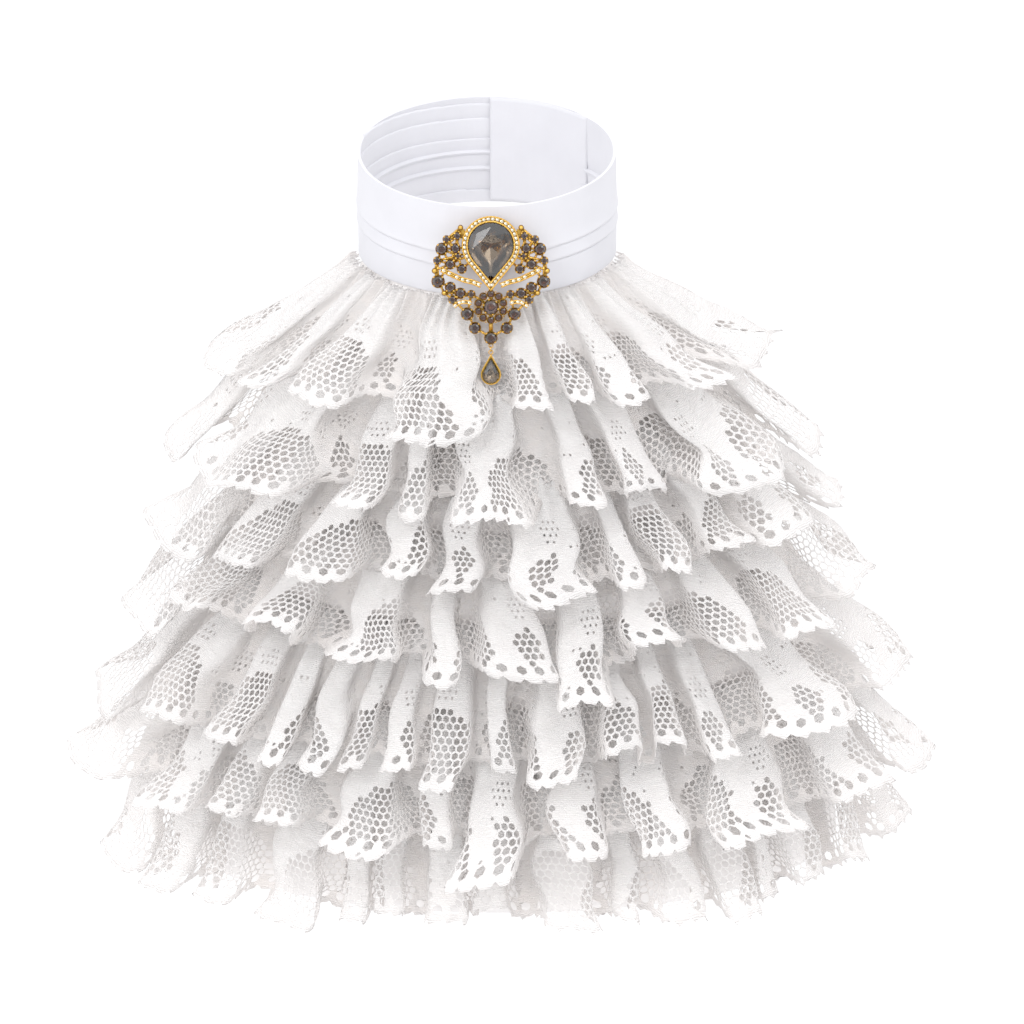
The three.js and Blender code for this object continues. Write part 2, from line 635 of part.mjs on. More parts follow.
addPiece(jabot, 'collar_band', collarBand(), CLOTH);
addPiece(jabot, 'closure_tab', closureTab(), CLOTH);
addPiece(jabot, 'bib_panel', bibPanel(), CLOTH);
tiers.forEach((tier, index) => addPiece(jabot, `lace_tier_${index + 1}`, laceTier(tier), LACE));

// The brooch stands just clear of the collar's top front edge.
const collarTopFront = collarPoint(0, COLLAR_FRONT_HEIGHT, COLLAR_RADIUS + TUCK_DEPTH / 2);
const tiltTangent = Math.tan(degrees(BROOCH_TILT));
const broochBack = collarTopFront.y - BROOCH_GAP - (collarTopFront.z - BROOCH_UP) * tiltTangent;
const pinHeight = BROOCH_UP + PIN_UP;
const leanTangent = Math.tan(degrees(COLLAR_LEAN));
const ringFront = collarPoint(0, 0, COLLAR_RADIUS + TUCK_DEPTH / 2);
const wallAtPin = ringFront.y - (pinHeight - ringFront.z) * leanTangent;
const brooch = new THREE.Group();
brooch.rotation.x = Math.PI / 2 - degrees(BROOCH_TILT);
brooch.position.set(BROOCH_ACROSS, broochBack, BROOCH_UP);
jabot.add(brooch);
addPiece(brooch, 'brooch_frame', broochFrame(), GILT);
const pinReach = wallAtPin - broochBack - PIN_UP * tiltTangent - 2 * STONE_GAP;
addPiece(brooch, 'brooch_pin', broochPin(pinReach), GILT);
addPiece(brooch, 'stone_pear', pearStone(), SMOKE_GLASS);
stoneSites.forEach((site) => addPiece(brooch, site.name, roundStone(site), BROWN_GLASS));
addPiece(brooch, 'brooch_flower', broochFlower(), BROWN_GLASS);
addPiece(brooch, 'drop_link', dropLink(), GILT);
addPiece(brooch, 'drop_setting', dropSetting(), GILT);
addPiece(brooch, 'drop_stone', dropStone(), SMOKE_GLASS);

export default jabot;
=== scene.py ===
import math
import random
from bisect import bisect_right

import bmesh
import bpy
from mathutils import Matrix, Vector, noise


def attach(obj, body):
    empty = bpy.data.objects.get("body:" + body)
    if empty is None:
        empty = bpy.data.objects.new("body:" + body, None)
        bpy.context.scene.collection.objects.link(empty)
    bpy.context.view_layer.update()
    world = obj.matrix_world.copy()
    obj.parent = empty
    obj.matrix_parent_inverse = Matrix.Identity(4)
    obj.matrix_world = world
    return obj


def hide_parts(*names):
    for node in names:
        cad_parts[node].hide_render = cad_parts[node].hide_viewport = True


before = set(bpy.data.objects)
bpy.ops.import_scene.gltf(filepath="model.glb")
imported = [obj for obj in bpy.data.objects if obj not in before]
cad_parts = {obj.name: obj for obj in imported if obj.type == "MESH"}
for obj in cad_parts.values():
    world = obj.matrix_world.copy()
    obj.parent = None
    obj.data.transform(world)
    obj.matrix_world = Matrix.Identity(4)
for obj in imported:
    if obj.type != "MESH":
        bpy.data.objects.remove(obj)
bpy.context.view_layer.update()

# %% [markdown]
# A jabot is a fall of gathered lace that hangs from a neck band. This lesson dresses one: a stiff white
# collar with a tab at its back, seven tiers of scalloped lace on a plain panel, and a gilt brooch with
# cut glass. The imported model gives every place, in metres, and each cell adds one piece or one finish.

MM = 0.001
random.seed(7)

# %% [markdown]
# The camera stands in front, a little above, at the angle from which the top ring of the collar shows
# as an ellipse. A long lens keeps the sides of the skirt nearly parallel, as in a catalogue picture.

# %% Camera
CAMERA_PITCH = math.radians(10.5)
CAMERA_DISTANCE = 1.6
CAMERA_TARGET = Vector((0.0116, -0.030, -0.120))
CAMERA_LENS = 121.5

look = Vector((0, math.cos(CAMERA_PITCH), -math.sin(CAMERA_PITCH)))
camera = bpy.data.objects.new("camera", bpy.data.cameras.new("camera"))
camera.data.sensor_width = 36
camera.data.lens = CAMERA_LENS
camera.location = CAMERA_TARGET - look * CAMERA_DISTANCE
camera.rotation_euler = look.to_track_quat("-Z", "Y").to_euler()
bpy.context.scene.collection.objects.link(camera)
bpy.context.scene.camera = camera
print("camera at", [round(value, 3) for value in camera.location])


# %% [markdown]
# Every finish below is a small tree of shader nodes. Two helpers keep them short: one turns a colour as
# it is written for screens into the linear values that a shader needs, and one adds a node together
# with its settings and links.

# %% Helpers for finishes
def linear(hex_colour):
    channels = [int(hex_colour[start:start + 2], 16) / 255 for start in (1, 3, 5)]
    curve = [c / 12.92 if c <= 0.04045 else ((c + 0.055) / 1.055) ** 2.4 for c in channels]
    return (*curve, 1.0)


def add_node(tree, kind, sockets=None, **settings):
    node = tree.nodes.new(kind)
    for name, value in settings.items():
        setattr(node, name, value)
    for name, value in (sockets or {}).items():
        if isinstance(value, bpy.types.NodeSocket):
            tree.links.new(value, node.inputs[name])
        else:
            node.inputs[name].default_value = value
    return node


def add_noise(tree, place, scale, detail, dimensions="3D"):
    sockets = {"Vector": place, "Scale": scale, "Detail": detail}
    return add_node(tree, "ShaderNodeTexNoise", sockets, noise_dimensions=dimensions).outputs["Fac"]


def new_finish(name):
    material = bpy.data.materials.new(name)
    material.use_nodes = True
    tree = material.node_tree
    shader = tree.nodes["Principled BSDF"]
    return material, tree, shader


# %% [markdown]
# The collar is cotton poplin, a plain weave pressed with starch. Its threads are about 0.3 mm apart,
# too fine for the picture, so they are drawn 0.6 mm apart. Two wave patterns on the cloth's own UV map,
# one for each thread direction, give the bump, and a soft noise keeps the pressing uneven.

# %% Starched cotton poplin
POPLIN_THREAD = 0.6 * MM
WAVE_PERIOD = 2 * math.pi / 20


def starched_poplin(name, colour, lit, roughness):
    material, tree, shader = new_finish(name)
    cloth = add_node(tree, "ShaderNodeTexCoord").outputs["UV"]
    turns = WAVE_PERIOD / POPLIN_THREAD
    weave = [
        add_node(tree, "ShaderNodeTexWave", {"Vector": cloth, "Scale": turns}, bands_direction=axis)
        for axis in ("X", "Y")
    ]
    woven = add_node(tree, "ShaderNodeMath", {0: weave[0].outputs["Fac"], 1: weave[1].outputs["Fac"]},
                     operation="MULTIPLY")
    slack = add_noise(tree, cloth, 45.0, 3.0)
    tone = add_node(tree, "ShaderNodeMix", {
        "Factor": slack, "A": linear(colour), "B": linear(lit),
    }, data_type="RGBA")
    tree.links.new(tone.outputs["Result"], shader.inputs["Base Color"])
    pressed = add_node(tree, "ShaderNodeBump", {
        "Height": slack, "Strength": 0.35, "Distance": 1.0 * MM,
    })
    threads = add_node(tree, "ShaderNodeBump", {
        "Height": woven.outputs["Value"], "Strength": 0.3, "Distance": 0.15 * MM,
        "Normal": pressed.outputs["Normal"],
    })
    tree.links.new(threads.outputs["Normal"], shader.inputs["Normal"])
    shader.inputs["Roughness"].default_value = roughness
    shader.inputs["Sheen Weight"].default_value = 0.15
    return material


collar_cotton = starched_poplin("starched_cotton_poplin", "#BFBFC6", "#CFCFD6", 0.8)
panel_cotton = starched_poplin("plain_cotton_lining", "#EFEAE8", "#F8F5F4", 0.9)
print("weave drawn at", POPLIN_THREAD / MM, "mm")

# %% [markdown]
# Machine lace is knitted from a fine thread that lets much of the light through. A wave along the
# cloth's height draws rows of laid-in thread 0.9 mm apart. Clouds and the veins between petals make the
# cloth look thinner in places, and painted shade makes the colour a little warmer and darker where folds
# are deep. About half of the light passes through the cloth, which softens the shadows behind each flute.

# %% Knitted lace
LACE_ROW = 0.9 * MM
PETAL_SIZE = 11 * MM
LIGHT_THROUGH = 0.55


def knitted_lace():
    material, tree, shader = new_finish("knitted_cotton_lace")
    cloth = add_node(tree, "ShaderNodeTexCoord").outputs["UV"]
    rows = add_node(tree, "ShaderNodeTexWave", {
        "Vector": cloth, "Scale": WAVE_PERIOD / LACE_ROW, "Distortion": 3.0, "Detail": 1.0,
        "Detail Scale": 2.0,
    }, bands_direction="Y")
    fluff = add_noise(tree, cloth, 420.0, 1.0, "2D")
    cloud = add_node(tree, "ShaderNodeMapRange", {
        "Value": add_noise(tree, cloth, 90.0, 2.0, "2D"), "From Min": 0.35, "From Max": 0.55, "To Min": 0.5,
    })
    threads = add_node(tree, "ShaderNodeMath", {0: rows.outputs["Fac"], 1: fluff}, operation="ADD")
    bump = add_node(tree, "ShaderNodeBump", {
        "Height": threads.outputs["Value"], "Strength": 0.8, "Distance": 0.4 * MM,
    })
    # Painted shade: the crest share makes the colour warmer and darker in the valleys of the folds, where
    # shade falls.
    depth = add_node(tree, "ShaderNodeAttribute", attribute_name="crest").outputs["Fac"]
    painted_fold_shade = add_node(tree, "ShaderNodeMix", {
        "Factor": depth, "A": linear("#FAF5F2"), "B": linear("#FFFFFF"),
    }, data_type="RGBA")
    petals = add_node(tree, "ShaderNodeTexVoronoi", {"Vector": cloth, "Scale": 1 / PETAL_SIZE},
                      feature="DISTANCE_TO_EDGE", voronoi_dimensions="2D")
    vein = add_node(tree, "ShaderNodeMapRange", {
        "Value": petals.outputs["Distance"], "From Min": 0.03, "From Max": 0.16, "To Min": 0.6,
    })
    dense = add_node(tree, "ShaderNodeMath", {0: cloud.outputs["Result"], 1: vein.outputs["Result"]},
                     operation="MULTIPLY")
    thin = add_node(tree, "ShaderNodeMix", {
        "Factor": dense.outputs["Value"], "A": linear("#F5F3F3"), "B": painted_fold_shade.outputs["Result"],
    }, data_type="RGBA")
    tree.links.new(thin.outputs["Result"], shader.inputs["Base Color"])
    tree.links.new(bump.outputs["Normal"], shader.inputs["Normal"])
    shader.inputs["Roughness"].default_value = 0.8
    through = add_node(tree, "ShaderNodeBsdfTranslucent", {
        "Color": linear("#FFFAF7"), "Normal": bump.outputs["Normal"],
    })
    both = add_node(tree, "ShaderNodeMixShader", {
        0: LIGHT_THROUGH, 1: shader.outputs["BSDF"], 2: through.outputs["BSDF"],
    })
    tree.links.new(both.outputs["Shader"], tree.nodes["Material Output"].inputs["Surface"])
    return material


lace_yarn = knitted_lace()
print("thread rows drawn at", LACE_ROW / MM, "mm")


# %% [markdown]
# The brooch is cast zinc with a gold plate: a warm metal, bright on its high spots and dark brown in its
# hollows, where an ambient occlusion mask darkens the colour. The stones are glass, tinted smoky brown,
# smoky grey or pale olive. Their upper facets get a smooth surface that lets light through, and the facets
# below the girdle get a mirror foil, which throws the light back through the tint.

# %% Gilt and glass
def gold_plate_dark_in_hollows():
    material, tree, shader = new_finish("gold_plate_dark_in_hollows")
    place = add_node(tree, "ShaderNodeTexCoord").outputs["Object"]
    wear = add_noise(tree, place, 900.0, 3.0)
    # The ambient occlusion mask turns the colour dark brown in the hollows and crevices.
    hollow = add_node(tree, "ShaderNodeAmbientOcclusion", {"Distance": 1.2 * MM}, samples=4)
    hollow_darkening = add_node(tree, "ShaderNodeMapRange", {
        "Value": hollow.outputs["AO"], "From Min": 0.25, "From Max": 0.8,
    })
    tone = add_node(tree, "ShaderNodeMix", {
        "Factor": hollow_darkening.outputs["Result"], "A": linear("#4E2E08"), "B": linear("#CC9638"),
    }, data_type="RGBA")
    polish = add_node(tree, "ShaderNodeMapRange", {
        "Value": wear, "To Min": 0.16, "To Max": 0.34,
    })
    tree.links.new(tone.outputs["Result"], shader.inputs["Base Color"])
    tree.links.new(polish.outputs["Result"], shader.inputs["Roughness"])
    shader.inputs["Metallic"].default_value = 1.0
    return material


def cut_glass(name, tint, cloud_tint, clear=1.0):
    material, tree, shader = new_finish(name)
    place = add_node(tree, "ShaderNodeTexCoord").outputs["Object"]
    cloud = add_noise(tree, place, 350.0, 1.0)
    colour = add_node(tree, "ShaderNodeMix", {
        "Factor": cloud, "A": linear(tint), "B": linear(cloud_tint),
    }, data_type="RGBA")
    tree.links.new(colour.outputs["Result"], shader.inputs["Base Color"])
    shader.inputs["Roughness"].default_value = 0.0
    shader.inputs["IOR"].default_value = 1.55
    shader.inputs["Transmission Weight"].default_value = clear
    shader.inputs["Metallic"].default_value = 1.0 - clear
    return material


def mirror_foil(name, tint):
    material, tree, shader = new_finish(name)
    place = add_node(tree, "ShaderNodeTexCoord").outputs["Object"]
    wrinkle = add_noise(tree, place, 700.0, 2.0)
    bump = add_node(tree, "ShaderNodeBump", {
        "Height": wrinkle, "Strength": 0.15, "Distance": 0.1 * MM,
    })
    shader.inputs["Base Color"].default_value = linear(tint)
    shader.inputs["Roughness"].default_value = 0.06
    shader.inputs["Metallic"].default_value = 1.0
    tree.links.new(bump.outputs["Normal"], shader.inputs["Normal"])
    return material


gilt = gold_plate_dark_in_hollows()
brown_glass = cut_glass("smoky_brown_cut_glass", "#3E2824", "#5A4038")
smoke_glass = cut_glass("smoky_topaz_cut_glass", "#5E5348", "#85786A")
olive_glass = cut_glass("pale_olive_cut_glass", "#F0ECC8", "#FFFDEE", 0.2)
rose_foil = mirror_foil("rose_foil_backing", "#C8A494")
silver_foil = mirror_foil("silver_foil_backing", "#C4BCB0")
print("metal and glass ready")


# %% [markdown]
# A finished piece becomes an object at the origin, with its place in its mesh, as the frame's own pieces
# are. It rides on the frame's one body, takes the finish that it is given, and hides the plain solids that
# it stands for.

# %% From a bmesh to a piece
def add_piece(name, shape, material, stands_for=(), smooth=True):
    mesh = bpy.data.meshes.new(name)
    shape.to_mesh(mesh)
    shape.free()
    if smooth:
        mesh.shade_smooth()
    mesh.materials.append(material)
    piece = bpy.data.objects.new(name, mesh)
    bpy.context.scene.collection.objects.link(piece)
    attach(piece, "root")
    if stands_for:
        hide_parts(*stands_for)
    return piece


def map_cloth(shape, width, height):
    uv = shape.loops.layers.uv.new("cloth")
    for face in shape.faces:
        for loop in face.loops:
            loop[uv].uv = (loop.vert.co.x * width, loop.vert.co.y * height)


def thicken(piece, wall):
    solidify = piece.modifiers.new("wall", "SOLIDIFY")
    solidify.thickness = wall
    solidify.offset = 0.0
    solidify.use_even_offset = True
    return solidify


# %% [markdown]
# The collar leans forward like a neck, so its points are given by the angle round the neck, the height
# up the band and the radius, and then tipped about the X axis. The panel and the lace hang from its
# bottom edge on one shared body surface, which spreads sideways as it falls. These are the same sizes
# that the solids are made from, in millimetres.

# %% The collar's ring and the body surface
COLLAR_RADIUS = 60
COLLAR_WALL = 1.6
COLLAR_LEAN = math.radians(15.5)
COLLAR_FRONT_HEIGHT = 42.5
COLLAR_BACK_HEIGHT = 53
COLLAR_FLARE = 0.6
TUCK_DEPTH = 0.7
RING_DEPTH = COLLAR_RADIUS * math.cos(COLLAR_LEAN)
RING_DROP = COLLAR_RADIUS * math.sin(COLLAR_LEAN)
SPREAD_WIDTH = 100
SPREAD_LENGTH = 300
SPREAD_POWER = 1.2
FRONT_SLOPE = 0.12
SIDE_LIFT = 26
SIDE_LIFT_START = 60
SIDE_DROOP = 12
SIDE_DROOP_START = 230
SIDE_DROOP_LENGTH = 60
BODY_DEPTH_GAIN = 12
BODY_DEPTH_LENGTH = 225
SIDE_DRIFT = 8
SIDE_DRIFT_LENGTH = 160


def collar_point(angle, height, radius):
    ring = Vector((radius * math.sin(angle), -radius * math.cos(angle), height))
    return (Matrix.Rotation(COLLAR_LEAN, 3, "X") @ ring) * MM


def collar_height(angle):
    middle = (COLLAR_FRONT_HEIGHT + COLLAR_BACK_HEIGHT) / 2
    return middle - (COLLAR_BACK_HEIGHT - COLLAR_FRONT_HEIGHT) / 2 * math.cos(angle)


def body_point(angle, down, stand_off):
    below = max(down, 0)
    spread = math.sin(min(1, below / SPREAD_LENGTH) * math.pi / 2) ** SPREAD_POWER
    half_width = COLLAR_RADIUS + SPREAD_WIDTH * spread
    depth = RING_DEPTH + BODY_DEPTH_GAIN * min(1, below / BODY_DEPTH_LENGTH)
    droop = min(1, max(0, (below - SIDE_DROOP_START) / SIDE_DROOP_LENGTH))
    lift = SIDE_LIFT * min(1, below / SIDE_LIFT_START) - SIDE_DROOP * droop
    drift = SIDE_DRIFT * min(1, below / SIDE_DRIFT_LENGTH)
    turn = 1 - math.cos(angle)
    outward = Vector((depth * math.sin(angle), -half_width * math.cos(angle), 0)).normalized()
    place = Vector((
        half_width * math.sin(angle) + drift,
        -RING_DEPTH - FRONT_SLOPE * down + depth * turn,
        -RING_DROP * math.cos(angle) - down + lift * turn * turn,
    ))
    return (place + outward * stand_off) * MM


print("collar bottom front:", [round(v / MM, 1) for v in collar_point(0, 0, COLLAR_RADIUS)])

# %% [markdown]
# Each tier of lace is one long strip, gathered along its top edge so that it falls in flutes. The table
# gives, for each tier, where it is sewn, how far it falls, how far its hem stands off at the sides and
# at the centre, and its flute depth; then its folds from left to right, with each fold's width, its
# extra drop and its extra stand-off. All are shares of the sizes named here.

# %% The tiers and their folds
PANEL_LENGTH = 278
RUFFLE_FALL = 60
HEM_STAND_OFF = 40
FLUTE_DEPTH = 11
GATHER_DEPTH = 0.7
CREST_FULLNESS = 0.2
CREST_SPREAD = 0.06
CREST_TURN = 0.1
FLUTE_GROWTH = 0.8
NARROW_FOLD = math.radians(12)
NARROW_SHARE = 0.35
SEAM_DROP = 0.8
CENTRE_SPAN = math.radians(28)

TIERS = [
    {"top": 0, "fall": 0.717, "side": 1, "centre": 0.56, "flute": 0.91, "reach": 86, "folds": [
        (24, 0.3, 0), (12, 0.1, 0), (20, 0.05, 0), (33, 0.4, 0.6), (14, 0, 0), (11, -0.05, 0),
        (13, 0, 0.2), (18, 0.1, 0), (27, 0.25, 0)]},
    {"top": 0.104, "fall": 0.95, "side": 0.975, "centre": 0.7, "flute": 1, "reach": 86, "folds": [
        (14, 0.3, 0), (36, 0.1, 0.5), (14, 0.1, 0), (8, 0.05, 0), (27, 0.15, 0.4), (13, 0, 0),
        (17, -0.05, 0), (29, 0.1, 0.4), (14, 0.25, 0)]},
    {"top": 0.237, "fall": 0.933, "side": 0.9, "centre": 0.75, "flute": 1, "reach": 84, "folds": [
        (22, 0.2, 0), (20, 0.05, 0.2), (16, 0, 0), (13, -0.15, 0), (13, 0.05, 0), (21, 0.1, 0.3),
        (8, 0, 0), (12, -0.1, 0), (12, -0.15, 0), (18, -0.1, 0.2), (13, 0, 0)]},
    {"top": 0.378, "fall": 0.867, "side": 0.925, "centre": 0.825, "flute": 1, "reach": 84, "folds": [
        (18, 0.2, 0), (16, -0.15, 0), (15, -0.2, 0), (19, -0.05, 0.3), (8, 0.1, 0), (16, 0.05, 0),
        (13, 0.3, 0.2), (13, -0.2, 0), (15, -0.05, 0), (17, 0, 0.2), (17, -0.05, 0)]},
    {"top": 0.525, "fall": 0.933, "side": 0.95, "centre": 0.825, "flute": 1, "reach": 84, "folds": [
        (17, 0.2, 0), (14, 0, 0.2), (12, -0.05, 0), (7, 0.05, 0), (8, 0.1, 0), (6, 0.05, 0),
        (7, -0.05, 0), (9, 0.1, 0), (6, 0, 0), (13, 0.05, 0), (9, -0.1, 0), (7, -0.2, 0),
        (9, 0, 0), (26, -0.1, 0.3), (18, -0.05, 0)]},
    {"top": 0.662, "fall": 0.867, "side": 0.925, "centre": 0.825, "flute": 1, "reach": 84, "folds": [
        (19, 0.1, 0), (17, 0, 0.2), (8, -0.1, 0), (12, -0.1, 0), (14, 0.05, 0), (7, 0, 0),
        (13, 0.25, 0.3), (11, 0.05, 0), (15, 0.05, 0), (22, 0, 0.2), (16, -0.05, 0), (14, 0.05, 0)]},
    {"top": 0.748, "fall": 1.1, "side": 0.575, "centre": 0.5, "flute": 0.91, "reach": 84, "folds": [
        (18, 0.1, 0), (14, 0.05, 0), (9, 0, 0), (16, 0.05, 0), (6, 0.05, 0), (7, -0.1, 0),
        (9, 0, 0), (7, -0.1, 0), (13, 0, 0), (6, 0, 0), (10, 0, 0), (10, 0.05, 0),
        (5, 0, 0), (11, -0.05, 0), (13, -0.1, 0), (13, -0.05, 0)]},
]


def fold_edges(tier):
    total = sum(fold[0] for fold in tier["folds"])
    edges = [-tier["reach"]]
    for width, _, _ in tier["folds"]:
        edges.append(edges[-1] + 2 * tier["reach"] * width / total)
    return [math.radians(edge) for edge in edges]


def find_fold(edges, angle):
    return min(max(bisect_right(edges, angle) - 1, 0), len(edges) - 2)


def rise_at(edges, angle):
    index = find_fold(edges, angle)
    wave = -math.cos(2 * math.pi * (angle - edges[index]) / (edges[index + 1] - edges[index]))
    full = wave + CREST_FULLNESS * (1 - wave * wave)
    return (1 + full * (3 - full * full) / 2) / 2


def tier_point(tier, edges, angle, share, ripple=0.0, hang=0.0, lean=0.0):
    index = find_fold(edges, angle)
    _, drop, stand = tier["folds"][index]
    width = edges[index + 1] - edges[index]
    phase = 2 * math.pi * (angle - edges[index]) / width
    rise = rise_at(edges, angle)
    centred = math.exp(-((angle / CENTRE_SPAN) ** 2))
    flare = (tier["side"] + (tier["centre"] - tier["side"]) * centred) * HEM_STAND_OFF
    inside = max(share, 0)
    flute = tier["flute"] * FLUTE_DEPTH
    narrow = min(1, NARROW_SHARE + (1 - NARROW_SHARE) * width / NARROW_FOLD)
    depth = max(GATHER_DEPTH, flute * inside ** FLUTE_GROWTH * narrow)
    turned = CREST_TURN * math.sin(2 * phase) - CREST_SPREAD * math.sin(phase)
    sway = width * (turned * math.sqrt(inside) + lean)
    fall = tier["fall"] * RUFFLE_FALL
    down = tier["top"] * PANEL_LENGTH + fall * (1 + drop * rise) * share + SEAM_DROP + hang
    stand_off = (flare + stand * flute * rise) * share + depth * (2 * rise - 1) + ripple
    return body_point(angle + sway, down, stand_off)


print("tiers:", len(TIERS), "folds:", sum(len(tier["folds"]) for tier in TIERS))

# %% [markdown]
# Lace net is a lattice of hexagons. A plain grid whose squares are joined in pairs, shifted by one from
# row to row like bricks, has exactly that pattern: each brick has six corners, and moving every other
# corner up and down turns the bricks into hexagons. Real openings, instead of a see-through picture, let
# light fall through the net and keep it true from every side.

# %% A flat lattice of hexagons
NET_PITCH = 3.5
NET_ROW = NET_PITCH * math.sqrt(3) / 2
NET_ZIGZAG = NET_PITCH / math.sqrt(3) / 4


def hex_lattice(across, rows, length, height):
    lattice = bmesh.new()
    columns = 2 * across
    bmesh.ops.create_grid(lattice, x_segments=columns, y_segments=rows, size=0.5)
    low = min(vertex.co.x for vertex in lattice.verts)
    span = max(vertex.co.x for vertex in lattice.verts) - low
    address = {}
    for vertex in lattice.verts:
        column = round((vertex.co.x - low) / span * columns)
        row = round((vertex.co.y - low) / span * rows)
        address[vertex] = (column, row)
    joints = []
    for edge in lattice.edges:
        (column, row), (other_column, other_row) = (address[vertex] for vertex in edge.verts)
        upright = column == other_column and 0 < column < columns
        if upright and (column + min(row, other_row)) % 2 == 1:
            joints.append(edge)
    for vertex, (column, row) in address.items():
        zigzag = NET_ZIGZAG if (column + row) % 2 == 0 else -NET_ZIGZAG
        vertex.co = (length * column / columns, height * row / rows + zigzag, 0)
    bmesh.ops.dissolve_edges(lattice, edges=joints, use_verts=False, use_face_split=False)
    return lattice


# %% [markdown]
# The lace has a border pattern that repeats along the strip: a scalloped hem with a row of round
# eyelets, fans of open net that stand over it, small diamonds of net between the fans, and leaves of
# pinholes above. The pattern is a rule on the place along and above the hem, so each cell can be opened,
# opened a little, or left as cloth.

# %% The lace pattern
SCALLOP_PITCH = 2 * NET_PITCH
FAN_PITCH = 84.0
FAN_HALF = 0.32
FAN_FOOT = 7.0
FAN_HEIGHT = 26.0
DIAMOND_HALF = 6.0
DIAMOND_UP = 15.0
DIAMOND_REACH = 8.0
LEAF_HALF = 0.1
LEAF_UP = 41.0
LEAF_REACH = 4.0
SIDE_LEAF_HALF = 0.08
SIDE_LEAF_UP = 34.0
SIDE_LEAF_REACH = 6.0
THREAD = 0.75
PINHOLE_THREAD = 2.1
EYELET_THREAD = 0.3
EYELET_GROWTH = 1.12
SCALLOP_DEPTH = 0.9
SCALLOP_DROP = 0.4


def cell_kind(across, up, row):
    if row == 1:
        return "eyelet" if int(across / NET_PITCH) % 2 == 0 else "cloth"
    place = (across / FAN_PITCH) % 1 - 0.5
    between = 0.5 - abs(place)
    fan = (place / FAN_HALF) ** 2 + ((up - FAN_FOOT) / FAN_HEIGHT) ** 2
    diamond = (between * FAN_PITCH / DIAMOND_HALF) ** 2 + ((up - DIAMOND_UP) / DIAMOND_REACH) ** 2
    if up > FAN_FOOT and min(fan, diamond) < 1:
        return "net"
    leaf = (place / LEAF_HALF) ** 2 + ((up - LEAF_UP) / LEAF_REACH) ** 2
    side_leaf = (between / SIDE_LEAF_HALF) ** 2 + ((up - SIDE_LEAF_UP) / SIDE_LEAF_REACH) ** 2
    if min(leaf, side_leaf) < 1:
        return "pinhole"
    return "pinhole" if noise.noise(Vector((across / 9, up / 6, 3.1))) > 0.5 else "cloth"


def open_cells(lattice, kinds, kind, thread):
    cells = [face for face in lattice.faces if kinds.get(face) == kind]
    if cells:
        bmesh.ops.inset_individual(lattice, faces=cells, thickness=thread / 2, use_even_offset=True)
        bmesh.ops.delete(lattice, geom=cells, context="FACES")


def lace_strip(length, height, start):
    across = round(length / NET_PITCH)
    rows = round(height / NET_ROW)
    strip = hex_lattice(across, rows, length, height)
    kinds = {}
    for face in strip.faces:
        centre = face.calc_center_median()
        row = int(centre.y / height * rows)
        kinds[face] = cell_kind(centre.x + start, centre.y, row)
    for face in strip.faces:
        if kinds[face] == "eyelet":
            centre = face.calc_center_median()
            for vertex in face.verts:
                vertex.co = centre + (vertex.co - centre) * EYELET_GROWTH
    open_cells(strip, kinds, "eyelet", EYELET_THREAD)
    open_cells(strip, kinds, "net", THREAD)
    open_cells(strip, kinds, "pinhole", PINHOLE_THREAD)
    for vertex in strip.verts:
        if vertex.co.y < NET_ROW / 2:
            wave = math.cos(2 * math.pi * vertex.co.x / SCALLOP_PITCH)
            vertex.co.y -= SCALLOP_DEPTH * wave + SCALLOP_DROP
    return strip


# %% [markdown]
# A strip is hung by giving each of its points a place on the tier: along the hem by true length, so that
# the net keeps its scale, and up from the hem as a share of the strip's width. The hung cloth also gets
# what a sewing machine gives it, gathers under the seam, and what hanging gives it: slow ripples, folds
# that lean to one side, and a hem that curls forward on the crests. Each strip is cut shorter along its
# top than along its hem.

# %% Hanging a strip on its tier
LACE_THICKNESS = 0.45
HEM_SAMPLES = 24
GATHER_PITCH = 15
GATHER_REACH = 26
GATHER_RISE = 2.2
GATHER_DRIFT = 3
CUT_TAPER = 0.4
LEAN_SHARE = 0.14
LEAN_DRIFT = 0.3
SLOW_RIPPLE = 6.0
HEM_WANDER = 6.0
CURL_START = 0.7
CREST_CURL = 8
HEM_RUFFLE = 5
SIDE_CALM = 0.8


def hem_table(tier, edges):
    angles = []
    for start, end in zip(edges, edges[1:]):
        angles += [start + (end - start) * step / HEM_SAMPLES for step in range(HEM_SAMPLES)]
    angles.append(edges[-1] - 1e-6)
    places = [tier_point(tier, edges, angle, 1) / MM for angle in angles]
    lengths = [0.0]
    for before, after in zip(places, places[1:]):
        lengths.append(lengths[-1] + (after - before).length)
    return angles, lengths


def drift(*place):
    return noise.noise(Vector(place))


def strip_width(tier, edges, angles):
    total = 0
    for angle in angles[::12]:
        total += (tier_point(tier, edges, angle, 1) - tier_point(tier, edges, angle, 0)).length / MM
    return total / len(angles[::12])


